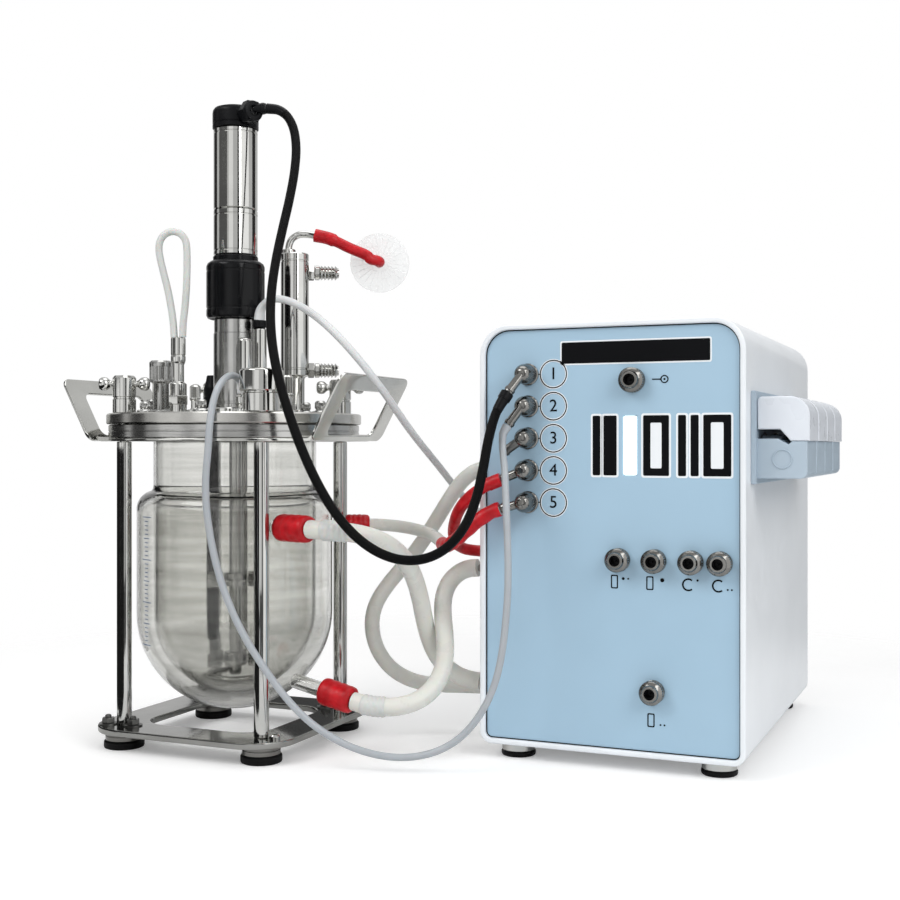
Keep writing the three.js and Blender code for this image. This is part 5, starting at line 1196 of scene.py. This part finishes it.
def port(radius):
    """A front socket: hex flange, knurled ring and a bored nose."""
    nose = radius * 0.62
    return revolve([
        (0, 0), (radius - 0.6, 0), (radius, 0.6), (radius, 3), (radius - 0.8, 3.4), (radius - 0.8, 4.2), (radius, 4.6),
        (radius, 5), (radius, 9.6), (radius, 10), (radius - 1, 11.2), (nose + 1.2, 12.4), (nose + 0.6, 14.4),
        (nose, 15), (nose - 1.6, 15), (nose - 2, 14.4), (nose - 2, 7), (0, 7)], 120, 30, 0.6, (4.7, 9.9))


def port_seal(radius):
    """What sits in the bore of a front socket: a seal and a centre pin."""
    nose = radius * 0.62
    seal = revolve([(0, 7), (nose - 2.1, 7), (nose - 2.1, 13.6), (nose - 3, 14.2), (nose - 3.2, 9), (0, 9)], 48)
    return seal.join(revolve([(0, 8.6), (1, 8.6), (1, 12), (0.5, 12.6), (0, 12.6)], 20))


ports, dark_ports, seals = Shape(), Shape(), Shape()
for u, z, radius, group in (
        (144, 345, 11, ports), (131, 186.5, 10.5, ports), (163.5, 186.5, 10.5, ports), (196, 186.5, 10.5, dark_ports),
        (221, 186.5, 10.5, dark_ports), (162, 72, 10.5, ports)):
    group.join(on_panel(port(radius), u, z))
    seals.join(on_panel(port_seal(radius), u, z))
piece("port_rings_bright", ports, PORT_STEEL)
piece("port_rings_dark", dark_ports, PORT_STEEL)
piece("port_seals", seals, BLACK)

# ---------------------------------------------------------------- plain marks on the panel
halo, ink = Shape(), Shape()
RING_U, PLATE_Z = 70.1, 370.5


def mark(group, u, z, thickness, outline, *holes):
    group.join(on_panel(extruded(outline, holes, thickness), u, z))


def bar_outline(x0, x1, half):
    return [(x0, -half), (x1, -half), (x1, half), (x0, half)]


for number, z in enumerate(COLUMN, 1):
    mark(halo, RING_U, z, 0.2, circle(13.6, 56), circle(11.2, 56))
    mark(ink, RING_U, z, 0.35, circle(12.9, 56), circle(11.9, 56))
    ink.join(on_panel(numeral(str(number), 15.5, 0.35), RING_U, z))
    mark(ink, 54.6, z, 0.3, bar_outline(0, 2.6, 0.45))
mark(halo, 0, PLATE_Z, 0.2, rounded(76.6, 213.4, -10.9, 10.9, 1.8, 4))
mark(ink, 0, PLATE_Z, 0.4, rounded(78, 212, -9.5, 9.5, 1.2, 4))

# level marks beside the lit bar, each with a white edge round it, and two of them open in the middle
for u0, u1, has_window in ((107, 114, False), (117, 129, False), (153, 176, True), (184, 191, False),
                           (195, 202, False), (206, 230, True)):
    holes = [rounded(u0 + 6.5, u1 - 6.5, -20, 20, 1.2, 4)] if has_window else []
    mark(halo, 0, STATUS_Z, 0.2, rounded(u0 - 1.8, u1 + 1.8, -28.3, 28.3, 2.2, 4))
    mark(ink, 0, STATUS_Z, 0.35, rounded(u0, u1, -26.5, 26.5, 1.2, 4), *holes)

# plain line signs under the sockets, by their place on the panel and the radius of their dots
SIGNS = {
    "tube": [rounded(-3.2, 3.2, -6, 6, 1, 3), rounded(-2.2, 2.2, -5, 5, 0.6, 3)],
    "arc": [arc_points(0, 0, 5.6, 50, 310, 20) + arc_points(0, 0, 4.2, 310, 50, 20)],
    "ring": [circle(3.6, 32), circle(2.6, 32)],
    "dash": [bar_outline(-4, 4, 0.5)],
}
for sign, u, z in (
        ("tube", 127, 167), (0.8, 135, 170), (0.5, 139.5, 170), ("tube", 159, 167), (1.1, 170, 170), ("arc", 193, 167),
        (0.6, 201, 171), ("arc", 219, 167), (0.5, 227, 164), (0.5, 230.5, 164), ("dash", 165, 345.5),
        ("ring", 172, 345.5), (0.6, 172, 345.5), ("tube", 160, 47), (0.5, 168.5, 43.5), (0.5, 172, 43.5)):
    mark(ink, u, z, 0.3, *(SIGNS.get(sign) or [circle(1.6 * sign, 24)]))
piece("panel_halos", halo, HALO, crease=20)
piece("panel_marks", ink, INK, crease=20)
rim = along_y(extruded(unit_outline(5.1), [unit_outline(5.9)], 1.2, 0.3), PANEL_Y - 0.9)
piece("panel_edge_seal", rim, INK)

# ---------------------------------------------------------------- pumps on the right wall
PUMP_PITCH = 59
PUMP_YS = [UNIT_Y + 56 + PUMP_PITCH * k for k in range(4)]
PUMP_LOW, PUMP_HIGH = low("pump_block").z + 5, high("pump_cover_1").z
HINGE = Vector((PUMP_WALL + 9, 0, PUMP_HIGH - 4.5))


def pump_body(y):
    """A body with its tube bed, and a raised ring on the face that looks forward."""
    x0 = PUMP_WALL + 4.3
    outline = [(x0 - 1, PUMP_LOW)] + arc_points(PUMP_WALL + 41, PUMP_LOW + 6, 6, -90, 0, 6)
    outline += [(PUMP_WALL + 47, 291.2), (PUMP_WALL + 34, 291.2), (PUMP_WALL + 31, 288.5), (PUMP_WALL + 22, 293.5),
                (x0 - 1, 293.5)]
    ring = revolve([(7.5, 0), (8.6, 0), (8.6, 0.7), (8.3, 1), (7.8, 1), (7.5, 0.7)], 56, closed=True)
    return along_y(extruded(outline, (), 56, 0.9), y - 28).join(
        laid(ring, (PUMP_WALL + 26, y - 28, PUMP_LOW + 17), (0, -1, 0)))


grey = block(PUMP_WALL + 0.3, PUMP_WALL + 4.3, UNIT_Y + 23, UNIT_Y + 266, PUMP_LOW - 5, PUMP_HIGH + 5, 1.0)
for y in PUMP_YS:
    grey.join(pump_body(y))
lug = extruded(rounded(PUMP_WALL + 3.3, PUMP_WALL + 12.5, HINGE.z - 4, HINGE.z + 3.5, 2.4, 5), (), 2, 0.4)
for y in PUMP_YS:
    grey.join(along_y(lug, y + PUMP_PITCH / 2 - 1))
pins = laid(revolve([(0, 0), (1.6, 0), (2, 0.4), (2, 229.6), (1.6, 230), (0, 230)], 32),
            (HINGE.x, UNIT_Y + 32.5, HINGE.z), (0, 1, 0))
piece("pump_bodies", grey, PUMP, stands_for=["pump_block"])
piece("pump_hinge_pin", pins, POLISHED)
rotor = revolve([(3.6, 0), (5.4, 0), (6, 0.6), (6, 17.4), (5.4, 18), (3.6, 18)], 40, closed=True)
rotor.join(revolve([(3.6, 0), (11.6, 0), (12, 0.4), (12, 1.6), (11.6, 2), (3.6, 2)], 56, closed=True))
for k in range(3):
    rotor.join(revolve([(0, 0.4), (3.9, 0.4), (4.5, 1), (4.5, 17.2), (3.9, 17.8), (0, 17.8)], 32)
               .at(*on_circle(9.6, 120 * k)))
for k, y in enumerate(PUMP_YS, 1):
    node = f"pump_cover_{k}"
    x0, x1, z1 = HINGE.x, high(node).x, high(node).z
    outline = [(x0 - 4.2, 301.5), (PUMP_WALL + 24, 301.5), (PUMP_WALL + 33, 291.5), (x1, 291.5)]
    outline += arc_points(x1 - 17, z1 - 17, 17, 0, 90, 12) + [(x0, z1)] + arc_points(x0, HINGE.z, 4.5, 90, 180, 6)
    cover = along_y(extruded(outline, (), 56, 1.3), y - 28)
    rib = along_y(extruded([(x0 + 6, z1 - 0.2), (x1 - 15, z1 - 0.2), (x1 - 15, z1 + 0.3), (x0 + 6, z1 + 0.3)], (),
                           44, 0.2), y - 22)
    piece(f"pump_lid_{k}", cover.join(rib), COVER, node, [node])
    node = f"pump_rotor_{k}"
    piece(f"pump_wheel_{k}", laid(rotor, (low(node).x, y, 287), (1, 0, 0)), ROTOR, node, [node])


# ---------------------------------------------------------------- floor and light
def area_light(name, place, target, size, power):
    lamp = add(bpy.data.objects.new(name, bpy.data.lights.new(name, "AREA")))
    lamp.data.shape = "RECTANGLE"
    lamp.data.size, lamp.data.size_y = size
    lamp.data.energy = power
    lamp.location = place
    aim(lamp, target)


def bare_material(name):
    """A material without a shader yet, and its nodes."""
    material = bpy.data.materials.new(name)
    nodes = Nodes(material)
    nodes.tree.nodes.remove(nodes.tree.nodes["Principled BSDF"])
    return material, nodes


def sheet(name, size, material):
    x, y = size[0] / 2, size[1] / 2
    mesh = bpy.data.meshes.new(name)
    mesh.from_pydata([(-x, -y, 0), (x, -y, 0), (x, y, 0), (-x, y, 0)], [], [(0, 1, 2, 3)])
    mesh.materials.append(material)
    return add(bpy.data.objects.new(name, mesh))


def floor():
    """Pale ground that keeps the shadows and runs out into the white round it."""
    material, nodes = bare_material("studio_floor")
    length = nodes.node("VectorMath", {0: nodes.node("TexCoord").outputs["Object"]}, operation="LENGTH")
    fade = nodes.node("MapRange", {0: length.outputs["Value"], 1: 0.55, 2: 1.0}, interpolation_type="SMOOTHSTEP")
    plain = nodes.node("BsdfDiffuse", {"Color": (0.88, 0.88, 0.88, 1)})
    seen = nodes.math("MULTIPLY", nodes.node("LightPath").outputs["Is Camera Ray"], 0.22)
    glow = nodes.node("Emission", {"Strength": seen})
    both = nodes.node("AddShader", {0: plain.outputs[0], 1: glow.outputs[0]})
    clear = nodes.node("BsdfTransparent")
    nodes.surface(nodes.node("MixShader", {0: fade.outputs[0], 1: both.outputs[0], 2: clear.outputs[0]}))
    sheet("floor", (4, 4), material)


def flag(name, place, size, shade):
    """A dark or bright card beside the set, seen only by what reflects or refracts it."""
    material, nodes = bare_material(name)
    nodes.surface(nodes.node("Emission", {"Color": (shade, shade, shade, 1)}))
    card = sheet(name, size, material)
    card.location = place
    aim(card, (-0.1, -0.1, place[2]))
    card.visible_camera = card.visible_diffuse = card.visible_shadow = False
    return card


def world():
    """Half-bright surroundings that look white to the camera and through glass, and greyer in reflections."""
    scene = bpy.context.scene
    scene.world = bpy.data.worlds.new("world")
    nodes = Nodes(scene.world)
    ray = nodes.node("LightPath").outputs
    seen = nodes.math("MAXIMUM", ray["Is Camera Ray"], ray["Is Transmission Ray"])
    share = nodes.math("MAXIMUM", seen, nodes.math("MULTIPLY", ray["Is Glossy Ray"], 0.4))
    sky = nodes.tree.nodes["Background"]
    sky.inputs["Color"].default_value = (1, 1, 1, 1)
    nodes.tree.links.new(nodes.node("MapRange", {0: share, 3: 0.5, 4: 1.0}).outputs[0], sky.inputs["Strength"])
    scene.view_settings.view_transform = "Standard"


floor()
world()
for name, place, size, shade in (
        ("dark_left", (-1.15, -1.41, 0.97), (1.5, 1.1), 0.13),
        ("dark_left_low", (-1.49, -0.88, 0.2), (0.5, 0.44), 0.05),
        ("bright_left_low", (-0.83, -1.49, 0.2), (0.6, 0.44), 1.2),
        ("dark_front", (1.27, -1.49, 0.5), (0.35, 2.0), 0.03),
        ("dark_right", (0.77, 1.15, 0.5), (0.8, 2.0), 0.04), ("dark_behind", (-1.78, 0.06, 0.5), (1.0, 2.0), 0.04),
        ("bright_front", (0.09, -2.11, 0.5), (0.8, 2.0), 1.15), ("bright_right", (1.5, -0.34, 0.5), (1.4, 2.0), 1.3)):
    flag(name, place, size, shade)
for name, place, size, shade in (
        ("low_front", (-0.256, -0.375, 0.143), (0.32, 0.284), 0.015),
        ("low_unit", (0.16, -0.62, 0.05), (0.5, 0.1), 0.1),
        ("low_left", (-0.455, -0.2, 0.143), (0.36, 0.284), 0.015), ("back_low", (-0.88, 1.16, 0.3), (0.42, 0.5), 0.08)):
    flag(name, place, size, shade).visible_transmission = False
area_light("key", (-0.9, -1.5, 1.5), (-0.1, -0.1, 0.2), (1.0, 1.0), 16)
area_light("fill", (1.5, -0.9, 1.2), (0.1, 0, 0.2), (1.0, 1.2), 15)
area_light("top", (0, 0.1, 2.0), (0, 0, 0.2), (1.4, 1.2), 10)

# ---------------------------------------------------------------- what the CAD nodes that stay are made of
KEPT = {
    "satin_steel": MILLED, "polished_steel": POLISHED, "glass": GLASS, "black_rubber": RUBBER,
    "black_plastic": BLACK, "white_shell": SHELL, "blue_panel": PANEL, "white_cover": COVER,
    "grey_pump": PUMP, "status_light": LIGHT, "red_silicone": RED, "clear_hose": HOSE,
    "black_cable": BRAID, "pale_cable": PALE, "filter_clear": FILTER,
}
for part in frame["record"]["subparts"]:
    node = frame["nodes"][part["node"]]
    if not node.hide_render:
        node.data.materials.clear()
        node.data.materials.append(KEPT[part["material_slot"]])

bpy.context.view_layer.update()
